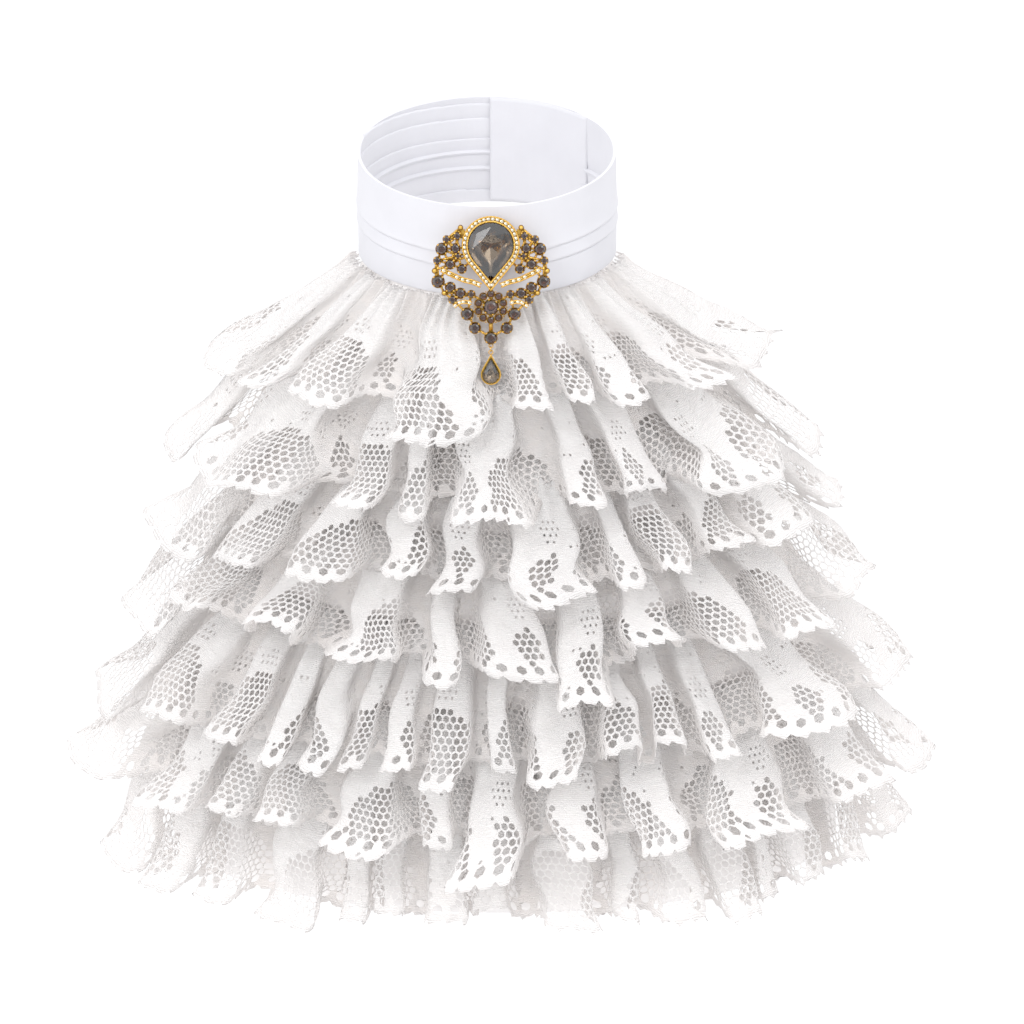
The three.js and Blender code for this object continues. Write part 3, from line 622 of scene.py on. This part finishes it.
def hang_lace(number, tier):
    edges = fold_edges(tier)
    angles, lengths = hem_table(tier, edges)
    height = strip_width(tier, edges, angles)
    strip = lace_strip(lengths[-1], height, 17.0 * number)
    cloth_area = sum(
        face.calc_area() * (1 - CUT_TAPER * face.calc_center_median().y / height) for face in strip.faces
    ) * MM * MM
    curls = [random.uniform(0, 1) for _ in tier["folds"]]
    leans = [random.uniform(-1, 1) for _ in tier["folds"]]
    uv = strip.loops.layers.uv.new("cloth")
    # Each point keeps its crest share for the lace finish, which paints shade into the valleys of the
    # folds.
    crest = strip.verts.layers.float.new("crest")
    for face in strip.faces:
        for loop in face.loops:
            along, above = loop.vert.co.xy
            along = (along - lengths[-1] / 2) * (1 - CUT_TAPER * above / height)
            loop[uv].uv = (along * MM, above * MM)
    for vertex in strip.verts:
        across, up = vertex.co.x, vertex.co.y
        index = min(max(bisect_right(lengths, across) - 1, 0), len(lengths) - 2)
        part = (across - lengths[index]) / max(lengths[index + 1] - lengths[index], 1e-9)
        angle = angles[index] + (angles[index + 1] - angles[index]) * part
        share = 1 - up / height
        rise = rise_at(edges, angle)
        pull = math.exp(-(height - up) / GATHER_REACH)
        turn = across * 2 * math.pi / GATHER_PITCH + GATHER_DRIFT * drift(across / 40, 7.7, number)
        gathers = GATHER_RISE * pull * (1 + math.sin(turn))
        below = max(share, 0)
        slow = SLOW_RIPPLE * drift(across / 28, up / 30, number * 5.3) * below
        flip = max(0, (share - CURL_START) / (1 - CURL_START)) ** 2
        curl = CREST_CURL * curls[find_fold(edges, angle)] * rise * flip
        curl += HEM_RUFFLE * drift(across / 13, 2.2, number * 3.9) * flip
        hang = HEM_WANDER * drift(across / 24, up / 60, number * 2.7) * below
        curl *= 1 - SIDE_CALM * (angle / edges[-1]) ** 4
        lean = LEAN_SHARE * leans[find_fold(edges, angle)] * rise * below
        lean += LEAN_DRIFT * drift(across / 45, up / 22, number * 8.1) * below
        vertex.co = tier_point(tier, edges, angle, share, gathers + slow + curl, hang, lean)
        vertex[crest] = rise
    bmesh.ops.recalc_face_normals(strip, faces=strip.faces)
    kept = sum(face.calc_area() for face in strip.faces) / cloth_area
    faces = len(strip.faces)
    piece = add_piece(f"lace_strip_{number}", strip, lace_yarn, [f"lace_tier_{number}"])
    thicken(piece, LACE_THICKNESS * MM).use_even_offset = False
    print(piece.name, "hem", round(lengths[-1]), "mm, width", round(height), "mm, faces", faces,
          "area kept", round(kept, 2))


for number, tier in enumerate(TIERS, 1):
    hang_lace(number, tier)


# %% [markdown]
# Behind the lace hangs one plain cotton panel that the tiers are sewn to. A grid laid on the body
# surface, a little inside it, follows the same spread. Its lower edge is turned up and stitched.

# %% The cloth panel
PANEL_HEM = 15
PANEL_FOLD = 0.9
PANEL_REACH = math.radians(80)
PANEL_TURN_IN = 9
COLLAR_CLEARANCE = 1.58
LACE_CLEARANCE = 1.2
PANEL_BACK = 0.8
STITCH_DEPTH = 0.5
PANEL_RIPPLE = 2.5
RIPPLE_START = 215


def cloth_panel():
    panel = bmesh.new()
    bmesh.ops.create_grid(panel, x_segments=80, y_segments=110, size=0.5)
    map_cloth(panel, 0.4, 0.287)
    for vertex in panel.verts:
        angle = vertex.co.x * 2 * PANEL_REACH
        down = -PANEL_TURN_IN + (0.5 - vertex.co.y) * (PANEL_LENGTH + PANEL_TURN_IN)
        clear = min(1, max(0, down / (TIERS[1]["top"] * PANEL_LENGTH)))
        inside = COLLAR_CLEARANCE + (LACE_CLEARANCE - COLLAR_CLEARANCE) * clear
        into_hem = down - (PANEL_LENGTH - PANEL_HEM)
        doubled = min(1, max(0, into_hem / 1.5)) * PANEL_FOLD
        stitch = STITCH_DEPTH * math.exp(-((into_hem - 1) / 1.2) ** 2)
        loose = min(1, max(0, down - RIPPLE_START) / 50)
        soft = PANEL_RIPPLE * drift(angle * 3, down / 70, 6.6) * loose
        vertex.co = body_point(angle, down, -inside - PANEL_BACK + doubled - stitch + soft)
    bmesh.ops.recalc_face_normals(panel, faces=panel.faces)
    piece = add_piece("cloth_panel", panel, panel_cotton, ["bib_panel"])
    thicken(piece, 0.8 * MM)


cloth_panel()
print("panel made")

# %% [markdown]
# The collar is one band of cloth with two pressed tucks low down, and its back end shows a few more
# pleats inside. A grid is wrapped round the neck, and each tuck is a lip over a fine groove: the upper
# cloth laps over the line and lies back again a few millimetres higher. The grooves fade out towards the
# front. A wall and a small bevel make the folded edges.

# %% The collar band
COLLAR_START = math.radians(180 - 44)
COLLAR_SLIT = math.radians(0.3)
TUCKS = [14, 20.5]
TUCK_GROOVE = 1.1
BACK_PLEATS = [5.7, 31.6, 41.7, 49]
TUCK_LIP = 0.8
TUCK_REACH = 4
PLEAT_REACH = 3
SMOOTH_FRONT = math.radians(22)
CLOTH_WANDER = 0.5
TAB_WIDTH = 52
TAB_LAP = 9
TAB_MEETS = 7


def tuck_groove(height, line):
    return math.exp(-((height - line + 0.4) / 0.55) ** 2)


def tuck_lip(height, line, reach):
    above = height - line
    return math.exp(-above / reach) if above >= 0 else 0.0


def collar_band():
    band = bmesh.new()
    bmesh.ops.create_grid(band, x_segments=178, y_segments=130, size=0.5)
    map_cloth(band, 0.373, 0.05)
    for vertex in band.verts:
        angle = COLLAR_START - (0.5 - vertex.co.x) * (2 * math.pi - COLLAR_SLIT)
        share = vertex.co.y + 0.5
        height = collar_height(angle) * share
        back_left = max(0, -math.cos(angle)) * (1 if angle < -math.pi / 2 else 0)
        side = min(1, max(0, (abs(angle) - SMOOTH_FRONT) / SMOOTH_FRONT))
        lines = [line * collar_height(angle) / COLLAR_FRONT_HEIGHT for line in TUCKS]
        lip = sum(tuck_lip(height, line, TUCK_REACH) for line in lines) * TUCK_LIP
        lip -= sum(tuck_groove(height, line) for line in lines) * TUCK_GROOVE * side
        lip += sum(tuck_lip(height, line, PLEAT_REACH) for line in BACK_PLEATS) * min(1, back_left * 3)
        wander = CLOTH_WANDER * drift(angle * 2.2, share * 1.5, 4.4)
        radius = COLLAR_RADIUS + COLLAR_FLARE * (1 - share) - COLLAR_WALL / 2 + lip - 0.4 + wander
        vertex.co = collar_point(angle, height, radius)
    bmesh.ops.recalc_face_normals(band, faces=band.faces)
    piece = add_piece("collar_cloth", band, collar_cotton, ["collar_band"])
    thicken(piece, 1.3 * MM)
    rounded = piece.modifiers.new("edges", "BEVEL")
    rounded.width = 0.4 * MM
    rounded.segments = 2
    rounded.limit_method = "ANGLE"
    rounded.angle_limit = math.radians(60)
    return piece


def closure_cloth():
    tab = bmesh.new()
    bmesh.ops.create_grid(tab, x_segments=40, y_segments=30, size=0.5)
    map_cloth(tab, 0.052, 0.05)
    radius = COLLAR_RADIUS - COLLAR_WALL - 0.9
    far = COLLAR_START - TAB_LAP / radius
    for vertex in tab.verts:
        angle = far + (vertex.co.x + 0.5) * TAB_WIDTH / radius
        height = 1 + (collar_height(angle) - 1.1) * (vertex.co.y + 0.5)
        meets = max(0, 1 - (vertex.co.x + 0.5) * TAB_WIDTH / TAB_MEETS) ** 2
        vertex.co = collar_point(angle, height, radius + 1.3 * meets)
    bmesh.ops.recalc_face_normals(tab, faces=tab.faces)
    piece = add_piece("closure_cloth", tab, collar_cotton, ["closure_tab"])
    thicken(piece, 1.0 * MM)


collar_piece = collar_band()
closure_cloth()
print("collar faces", len(collar_piece.data.polygons))

# %% [markdown]
# The brooch is drawn flat, x across and y up, with z forward from its back, and one matrix stands it
# against the collar's front. Its stones are listed once for one side, as shares of its size, and
# mirrored.

# %% The brooch's place and its stones
BROOCH_WIDTH = 53
BROOCH_HEIGHT = 57.5
BROOCH_ACROSS = 2.2
BROOCH_UP = -6.5
BROOCH_TILT = math.radians(4)
CUP_HEIGHT = 2.4
STONE_SPAN = min(BROOCH_WIDTH, BROOCH_HEIGHT * 0.92) / 2
BOTTOM_UP = -0.91 * BROOCH_HEIGHT / 2
BOTTOM_RADIUS = 0.098 * STONE_SPAN
SIDE_STONES = [
    (0.82, 0.46, 0.092), (0.74, 0.61, 0.053), (0.56, 0.66, 0.058), (0.593, 0.47, 0.075),
    (0.55, 0.352, 0.044), (0.893, 0.282, 0.057), (0.683, 0.228, 0.077), (0.487, 0.155, 0.07),
    (0.883, -0.039, 0.098), (0.68, -0.129, 0.078), (0.51, -0.222, 0.08), (0.642, -0.319, 0.06),
    (0.328, -0.237, 0.057), (0.393, -0.54, 0.095), (0.267, -0.757, 0.087),
]
SIDE_STUDS = [(0.507, 0.79, 0.038), (0.942, 0.124, 0.04), (0.783, -0.217, 0.038)]

rim_front = collar_point(0, COLLAR_FRONT_HEIGHT, COLLAR_RADIUS + TUCK_DEPTH / 2) / MM
brooch_back = rim_front.y - 1.2 - (rim_front.z - BROOCH_UP) * math.tan(BROOCH_TILT)
brooch_place = (
    Matrix.Translation(Vector((BROOCH_ACROSS, brooch_back, BROOCH_UP)) * MM)
    @ Matrix.Rotation(math.pi / 2 - BROOCH_TILT, 4, "X")
    @ Matrix.Scale(MM, 4)
)


def mirrored(rows):
    return [
        (f"{side}_{number}", sign * across * BROOCH_WIDTH / 2, up * BROOCH_HEIGHT / 2, size * STONE_SPAN)
        for side, sign in (("left", -1), ("right", 1))
        for number, (across, up, size) in enumerate(rows, 1)
    ]


stones = mirrored(SIDE_STONES) + [("bottom", 0, BOTTOM_UP, BOTTOM_RADIUS)]
studs = mirrored(SIDE_STUDS)
print("stones:", len(stones), "brooch back at", round(brooch_back, 1), "mm")

# %% [markdown]
# A cut stone has a flat table, a crown of facets that slopes to the girdle, and a pavilion below that
# throws the light back. Rings of points at those heights, each turned half a step from the last, and
# the convex hull over them give the facets, because a hull stretches flat faces between its points.

# %% Cutting stones
PEAR_RADIUS = 10
PEAR_TIP = 15.8
PEAR_UP = 14.9


def cut_stone(outline, sides, girdle, crown, pavilion, table=0.56):
    stone = bmesh.new()
    levels = [
        (table, girdle + crown, 0.5, sides), (0.82, girdle + crown * 0.62, 0, sides),
        (1.0, girdle, 0.5, sides * 2), (0.99, girdle - pavilion * 0.12, 0.5, sides * 2),
        (0.55, girdle - pavilion * 0.6, 0, sides), (0.12, girdle - pavilion, 0.5, sides),
    ]
    for share, level, turn, count in levels:
        ring = bmesh.ops.create_circle(stone, segments=count, radius=1)["verts"]
        for index, vertex in enumerate(ring):
            x, y = outline((index + turn) / count)
            vertex.co = (x * share, y * share, level)
    hull = bmesh.ops.convex_hull(stone, input=stone.verts)
    loose = [item for item in hull["geom_interior"] if isinstance(item, bmesh.types.BMVert)]
    bmesh.ops.delete(stone, geom=loose, context="VERTS")
    bmesh.ops.dissolve_limit(stone, angle_limit=math.radians(1), verts=stone.verts, edges=stone.edges)
    bmesh.ops.recalc_face_normals(stone, faces=stone.faces)
    for face in stone.faces:
        face.normal_update()
        face.material_index = 1 if face.normal.z < -0.1 else 0
    return stone


def round_outline(radius):
    return lambda part: (radius * math.cos(2 * math.pi * part), radius * math.sin(2 * math.pi * part))


def teardrop_outline(radius, tip, upward=-1):
    meet = math.asin(radius / tip)
    head = radius * (math.pi + 2 * meet)
    side = math.sqrt(tip * tip - radius * radius)
    total = head + 2 * side

    def place(part):
        along = (part % 1) * total
        if along < side:
            angle = -meet
            reach = along / side
        elif along < side + head:
            angle = -meet + (along - side) / radius
            reach = 1
        else:
            angle = math.pi + meet
            reach = (total - along) / side
        x, y = radius * math.cos(angle), radius * math.sin(angle)
        return x * reach, -upward * ((y + tip) * reach - tip)

    return place


def place_stone(name, stone, x, y, glass, foil, node=None):
    bmesh.ops.translate(stone, verts=stone.verts, vec=(x, y, 0))
    bmesh.ops.transform(stone, verts=stone.verts, matrix=brooch_place)
    piece = add_piece(name, stone, glass, [node] if node else (), smooth=False)
    piece.data.materials.append(foil)
    return piece


for name, x, y, radius in stones:
    stone = cut_stone(round_outline(radius), 8, 2.7, radius * 0.45, min(2.4, radius * 0.8))
    place_stone(f"cut_stone_{name}", stone, x, y, brown_glass, rose_foil, f"stone_{name}")

pear = cut_stone(teardrop_outline(PEAR_RADIUS, PEAR_TIP), 8, 3.5, 1.7, 3.3, 0.5)
place_stone("pear_stone", pear, 0, PEAR_UP, smoke_glass, silver_foil, "stone_pear")
print("cut stones:", len(stones) + 1)

# %% [markdown]
# Under each stone sits a small cup with four bead prongs. A cone with its top face inset and sunk makes
# the cup, and small spheres make the prongs. Round wires join each cup to its neighbour nearer the
# middle, as the casting does.

# %% Cups, prongs and wires
CUP_WALL = 0.5
PRONG_RADIUS = 0.48
WIRE_REACH = 9.5
WIRE_RADIUS = 0.6
WIRE_LEVEL = 0.9


def add_ball(metal, x, y, z, radius):
    place = Matrix.Translation((x, y, z))
    bmesh.ops.create_icosphere(metal, subdivisions=2, radius=radius, matrix=place)


def add_cup(metal, x, y, radius, height=CUP_HEIGHT, prongs=4, sides=20):
    place = Matrix.Translation((x, y, height / 2))
    made = bmesh.ops.create_cone(
        metal, cap_ends=True, segments=sides, radius1=radius + 0.3, radius2=radius + CUP_WALL,
        depth=height, matrix=place,
    )
    faces = {face for vertex in made["verts"] for face in vertex.link_faces}
    top = max(faces, key=lambda face: face.calc_center_median().z)
    bmesh.ops.inset_individual(metal, faces=[top], thickness=CUP_WALL, use_even_offset=True)
    bmesh.ops.translate(metal, verts=top.verts, vec=(0, 0, -height * 0.55))
    for turn in range(prongs):
        angle = math.pi / 4 + turn * 2 * math.pi / prongs
        reach = radius + 0.12
        prong = Vector((x, y, height + 0.4)) + Vector((math.cos(angle), math.sin(angle), 0)) * reach
        add_ball(metal, *prong, PRONG_RADIUS)


def add_wire(metal, start, end, radius, sides=8):
    line = Vector(end) - Vector(start)
    turn = line.to_track_quat("Z", "Y").to_matrix().to_4x4()
    place = Matrix.Translation((Vector(start) + Vector(end)) / 2) @ turn
    bmesh.ops.create_cone(
        metal, cap_ends=True, segments=sides, radius1=radius, radius2=radius, depth=line.length,
        matrix=place,
    )


def add_rail(metal, outline, up, level, radius, steps):
    points = [Vector((*outline(step / steps), level)) + Vector((0, up, 0)) for step in range(steps)]
    for index, point in enumerate(points):
        add_wire(metal, point, points[(index + 1) % steps], radius, 6)
        add_ball(metal, *point, radius)


openwork = bmesh.new()
sites = [(x, y, radius) for _, x, y, radius in stones + studs]
for _, x, y, radius in stones:
    add_cup(openwork, x, y, radius)
for _, x, y, radius in studs:
    add_cup(openwork, x, y, radius * 0.8, prongs=0, sides=12)
    add_ball(openwork, x, y, CUP_HEIGHT, radius)
for index, (x, y, radius) in enumerate(sites):
    for other_x, other_y, other_radius in sites[:index]:
        apart = math.hypot(other_x - x, other_y - y)
        if other_x * x >= 0 and apart < WIRE_REACH:
            add_wire(openwork, (x, y, WIRE_LEVEL), (other_x, other_y, WIRE_LEVEL), WIRE_RADIUS)
            middle = Vector(((x + other_x) / 2, (y + other_y) / 2, 1.3))
            add_ball(openwork, *middle, 0.62)
print("openwork faces so far:", len(openwork.faces))

# %% [markdown]
# The pear stone sits in a wide rim that carries a row of tiny olive stones between two rails. Below it,
# scroll arms with the same tiny stones run out to both sides, a spine runs down to the bottom stone,
# and the flower of ten small stones round a larger one covers it.

# %% The pear's rim, the scroll arms and the spine
HALO_STONES = 40
HALO_SIZE = 0.78
SCROLL_ARM = [(0.833, 0.147), (0.667, 0.07), (0.473, -0.011), (0.303, -0.05), (0.17, -0.1)]
LOWER_CURL = [(0.62, -0.43), (0.54, -0.375), (0.44, -0.355), (0.33, -0.375)]
FLOWER_UP = -12.5
FLOWER_RING = 5.8
FLOWER_PETALS = 10
PETAL_RADIUS = 1.45
HEART_RADIUS = 3.3
SCROLL_WIRE = 0.42
tiny_places = []


def add_band(metal, inner, outer, up, low, high, steps=64):
    rings = []
    for outline, level in ((inner, high), (outer, high), (outer, low), (inner, low)):
        ring = bmesh.ops.create_circle(metal, segments=steps, radius=1)["verts"]
        for index, vertex in enumerate(ring):
            x, y = outline(index / steps)
            vertex.co = (x, y + up, level)
        rings.append(ring)
    for ring, after in zip(rings, rings[1:] + rings[:1]):
        edges = [metal.edges.get((a, b)) for r in (ring, after) for a, b in zip(r, r[1:] + r[:1])]
        bmesh.ops.bridge_loops(metal, edges=edges)


def grown_pear(more):
    return teardrop_outline(PEAR_RADIUS + more, PEAR_TIP * (1 + more / PEAR_RADIUS))


add_band(openwork, grown_pear(0.2), grown_pear(2.7), PEAR_UP, 0, 2.5)
add_rail(openwork, grown_pear(2.6), PEAR_UP, 2.5, 0.45, 56)
add_rail(openwork, grown_pear(0.55), PEAR_UP, 2.9, 0.5, 56)
for index in range(HALO_STONES):
    x, y = grown_pear(1.6)((index + 0.5) / HALO_STONES)
    tiny_places.append((x, y + PEAR_UP, 2.6))
    x, y = grown_pear(1.6)(index / HALO_STONES)
    add_ball(openwork, x, y + PEAR_UP, 2.75, 0.24)


def smooth_path(points, steps):
    path = []
    padded = [points[0], *points, points[-1]]
    for before, start, end, after in zip(padded, padded[1:], padded[2:], padded[3:]):
        for step in range(steps):
            t = step / steps
            weights = (
                (-t + 2 * t * t - t ** 3) / 2, (2 - 5 * t * t + 3 * t ** 3) / 2,
                (t + 4 * t * t - 3 * t ** 3) / 2, (-t * t + t ** 3) / 2,
            )
            near = (before, start, end, after)
            path.append(sum((point * weight for point, weight in zip(near, weights)), Vector((0, 0))))
    path.append(Vector(points[-1]))
    return path


def add_scroll(metal, points, sign, thick, jewels):
    places = [Vector((sign * x * BROOCH_WIDTH / 2, y * BROOCH_HEIGHT / 2)) for x, y in points]
    path = smooth_path(places, 6)
    for side in (-1, 1):
        edge = []
        for index, point in enumerate(path):
            ahead = path[min(index + 1, len(path) - 1)] - path[max(index - 1, 0)]
            across = Vector((-ahead.y, ahead.x)).normalized() * thick * side
            edge.append((*(point + across), 2.2))
        for start, end in zip(edge, edge[1:]):
            add_wire(metal, start, end, SCROLL_WIRE, 6)
            add_ball(metal, *end, SCROLL_WIRE)
    for start, end in zip(path, path[1:]):
        add_wire(metal, (*start, 1.4), (*end, 1.4), thick, 8)
    for index in range(jewels):
        x, y = path[round((index + 0.5) * (len(path) - 1) / jewels)]
        tiny_places.append((x, y, 2.35))


for sign in (-1, 1):
    add_scroll(openwork, SCROLL_ARM, sign, 0.85, 7)
    add_scroll(openwork, LOWER_CURL, sign, 0.6, 4)
add_wire(openwork, (0, PEAR_UP - PEAR_TIP, WIRE_LEVEL), (0, BOTTOM_UP, WIRE_LEVEL), 1.0)
for _, x, y, _ in stones:
    if math.hypot(x, y - FLOWER_UP) < FLOWER_RING * 2:
        add_wire(openwork, (x, y, 0.8), (0, FLOWER_UP, 0.8), WIRE_RADIUS)
    if y > 0 and abs(x) < BROOCH_WIDTH * 0.36:
        add_wire(openwork, (x, y, 0.8), (0, PEAR_UP, 0.8), WIRE_RADIUS)
print("tiny stones:", len(tiny_places))


# %% [markdown]
# The flower and the tiny stones are cut and finished the same way as the other stones. A small eye
# under the bottom cup takes the ring of the drop.

# %% Flower, tiny stones and the bottom eye
def join_shapes(shapes):
    whole = bmesh.new()
    for shape in shapes:
        mesh = bpy.data.meshes.new("part")
        shape.to_mesh(mesh)
        shape.free()
        whole.from_mesh(mesh)
        bpy.data.meshes.remove(mesh)
    return whole


def moved(shape, x, y, z=0):
    bmesh.ops.translate(shape, verts=shape.verts, vec=(x, y, z))
    return shape


petals = []
for turn in range(FLOWER_PETALS):
    angle = 2 * math.pi * (turn + 0.5) / FLOWER_PETALS
    x, y = FLOWER_RING * math.cos(angle), FLOWER_UP + FLOWER_RING * math.sin(angle)
    petals.append(moved(cut_stone(round_outline(PETAL_RADIUS), 6, 2.7, 0.6, 0.9), x, y))
    add_cup(openwork, x, y, PETAL_RADIUS, prongs=0, sides=14)
    reach = FLOWER_RING + 1.3
    between_petals = angle + math.pi / FLOWER_PETALS
    bead_up = FLOWER_UP + reach * math.sin(between_petals)
    add_ball(openwork, reach * math.cos(between_petals), bead_up, 2.7, 0.36)
petals.append(moved(cut_stone(round_outline(HEART_RADIUS), 8, 3.3, 1.3, 1.6), 0, FLOWER_UP))
add_cup(openwork, 0, FLOWER_UP, HEART_RADIUS, height=3.0, prongs=6)
flower = join_shapes(petals)
place_stone("flower_stones", flower, 0, 0, brown_glass, rose_foil, "brooch_flower")

tiny = join_shapes([
    moved(cut_stone(round_outline(HALO_SIZE), 5, 0, 0.3, 0.4), x, y, z) for x, y, z in tiny_places
])
place_stone("tiny_stones", tiny, 0, 0, olive_glass, silver_foil)


EYE_RADIUS = 0.9
EYE_WIRE = 0.28
EYE_LEVEL = 0.75
LINK_RADIUS = 1.2
DROP_LENGTH = 11.5
DROP_WIDTH = 7.6
eye_up = BOTTOM_UP - BOTTOM_RADIUS - CUP_WALL - EYE_RADIUS + EYE_WIRE
link_drop = 2 * EYE_WIRE + 0.1
link_up = eye_up - EYE_RADIUS + link_drop - LINK_RADIUS
drop_eye_up = link_up - LINK_RADIUS + link_drop - EYE_RADIUS
drop_head = DROP_WIDTH / 2
setting_head = drop_head + CUP_WALL + 0.3
setting_tip = (DROP_LENGTH - drop_head) * (setting_head / drop_head)
drop_up = drop_eye_up - EYE_RADIUS + EYE_WIRE - setting_tip


def wire_ring(radius, wire, place):
    ring = bmesh.new()
    upright = Matrix.Translation((radius, 0, 0)) @ Matrix.Rotation(math.pi / 2, 4, "X")
    circle = bmesh.ops.create_circle(ring, segments=8, radius=wire, matrix=upright)["verts"]
    edges = list({edge for vertex in circle for edge in vertex.link_edges})
    bmesh.ops.spin(
        ring, geom=list(circle) + edges, cent=(0, 0, 0), axis=(0, 0, 1), angle=2 * math.pi, steps=20,
        use_merge=True,
    )
    bmesh.ops.recalc_face_normals(ring, faces=ring.faces)
    bmesh.ops.transform(ring, verts=ring.verts, matrix=place)
    return ring


eye = wire_ring(EYE_RADIUS, EYE_WIRE, Matrix.Translation((0, eye_up, EYE_LEVEL)))
openwork = join_shapes([openwork, eye])
bmesh.ops.recalc_face_normals(openwork, faces=openwork.faces)
bmesh.ops.transform(openwork, verts=openwork.verts, matrix=brooch_place)
add_piece("gilt_openwork", openwork, gilt, ["brooch_frame"])

# %% [markdown]
# The drop hangs by one ring that stands edge on to the two eyes that it joins, as a chain's link does.
# The drop's setting is a teardrop rim with a thin back, and its stone is cut like the pear.

# %% The drop
turned = Matrix.Translation((0, link_up, EYE_LEVEL)) @ Matrix.Rotation(math.pi / 2, 4, "Y")
link = wire_ring(LINK_RADIUS, EYE_WIRE, turned)
bmesh.ops.transform(link, verts=link.verts, matrix=brooch_place)
add_piece("drop_ring", link, gilt, ["drop_link"])


def drop_outline(more):
    radius = drop_head + more
    return teardrop_outline(radius, (DROP_LENGTH - drop_head) * radius / drop_head, upward=1)


setting = bmesh.new()
add_band(setting, drop_outline(0.15), drop_outline(0.8), drop_up, 0.05, 1.5, 40)
add_rail(setting, drop_outline(0.5), drop_up, 1.5, 0.32, 40)
back = bmesh.ops.create_circle(setting, segments=40, radius=1, cap_ends=True)["verts"]
for index, vertex in enumerate(back):
    x, y = drop_outline(0.5)(index / 40)
    vertex.co = (x, y + drop_up, 0.2)
drop_eye = wire_ring(EYE_RADIUS, EYE_WIRE, Matrix.Translation((0, drop_eye_up, EYE_LEVEL)))
setting = join_shapes([setting, drop_eye])
bmesh.ops.recalc_face_normals(setting, faces=setting.faces)
bmesh.ops.transform(setting, verts=setting.verts, matrix=brooch_place)
add_piece("drop_cup", setting, gilt, ["drop_setting"])
drop = cut_stone(drop_outline(0), 8, 1.75, 1.6, 1.1, 0.5)
place_stone("drop_gem", drop, 0, drop_up, smoke_glass, silver_foil, "drop_stone")
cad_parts["brooch_pin"].data.materials[0] = gilt
print("drop made")

# %% [markdown]
# The setting is a plain pale floor far below, a surround that is bright above and dimmer at the horizon,
# and wide soft lamps. Three small lamps put sparks on the facets. A few bounces of light are enough for
# white cloth, and the tones are lifted a little, so that its shadows stay pale.

# %% Floor and light
FLOOR_HEIGHT = -1.45
FLOOR_HALF = 60
LAMP_AIM = Vector((0, -0.03, -0.12))

floor_shape = bmesh.new()
bmesh.ops.create_grid(floor_shape, x_segments=1, y_segments=1, size=FLOOR_HALF)
bmesh.ops.translate(floor_shape, verts=floor_shape.verts, vec=(0, 0, FLOOR_HEIGHT))
floor_mesh = bpy.data.meshes.new("floor")
floor_shape.to_mesh(floor_mesh)
floor_shape.free()
floor = bpy.data.objects.new("floor", floor_mesh)
bpy.context.scene.collection.objects.link(floor)
floor_paint, floor_tree, floor_shader = new_finish("matt_white_paint")
floor_shader.inputs["Base Color"].default_value = linear("#EAEAEA")
floor_shader.inputs["Roughness"].default_value = 1.0
floor_mesh.materials.append(floor_paint)

world = bpy.data.worlds.new("studio")
bpy.context.scene.world = world
world.use_nodes = True
sky = world.node_tree.nodes["Background"]
sky.inputs["Color"].default_value = linear("#FDFDFF")
direction = add_node(world.node_tree, "ShaderNodeTexCoord").outputs["Generated"]
height = add_node(world.node_tree, "ShaderNodeSeparateXYZ", {"Vector": direction}).outputs["Z"]
dimmer = add_node(world.node_tree, "ShaderNodeMapRange", {
    "Value": height, "From Min": 0.08, "From Max": 0.4, "To Min": 0.45, "To Max": 1.3,
}, interpolation_type="SMOOTHSTEP")
world.node_tree.links.new(dimmer.outputs["Result"], sky.inputs["Strength"])
paths = bpy.context.scene.cycles
paths.max_bounces = 4
paths.transmission_bounces = 4
paths.diffuse_bounces = 3
tones = bpy.context.scene.view_settings
tones.view_transform = "Standard"
tones.exposure = 0.17
tones.gamma = 1.48


def add_light(name, place, size, power):
    lamp = bpy.data.lights.new(name, "AREA")
    lamp.size = size
    lamp.energy = power
    light = bpy.data.objects.new(name, lamp)
    light.location = place
    aim = LAMP_AIM - Vector(place)
    light.rotation_euler = aim.to_track_quat("-Z", "Y").to_euler()
    bpy.context.scene.collection.objects.link(light)


add_light("key", (1.1, -1.2, 1.3), 0.8, 7)
add_light("fill", (-1.5, -1.2, 0.4), 1.0, 3)
add_light("front", (-0.8, -1.6, 0.6), 0.9, 11)
for number, place in enumerate([(-0.5, -1.5, 0.9), (0.9, -1.4, 0.1), (0.1, -1.2, 1.2)], 1):
    add_light(f"glint_{number}", place, 0.06, 1.6)
print("lights placed")
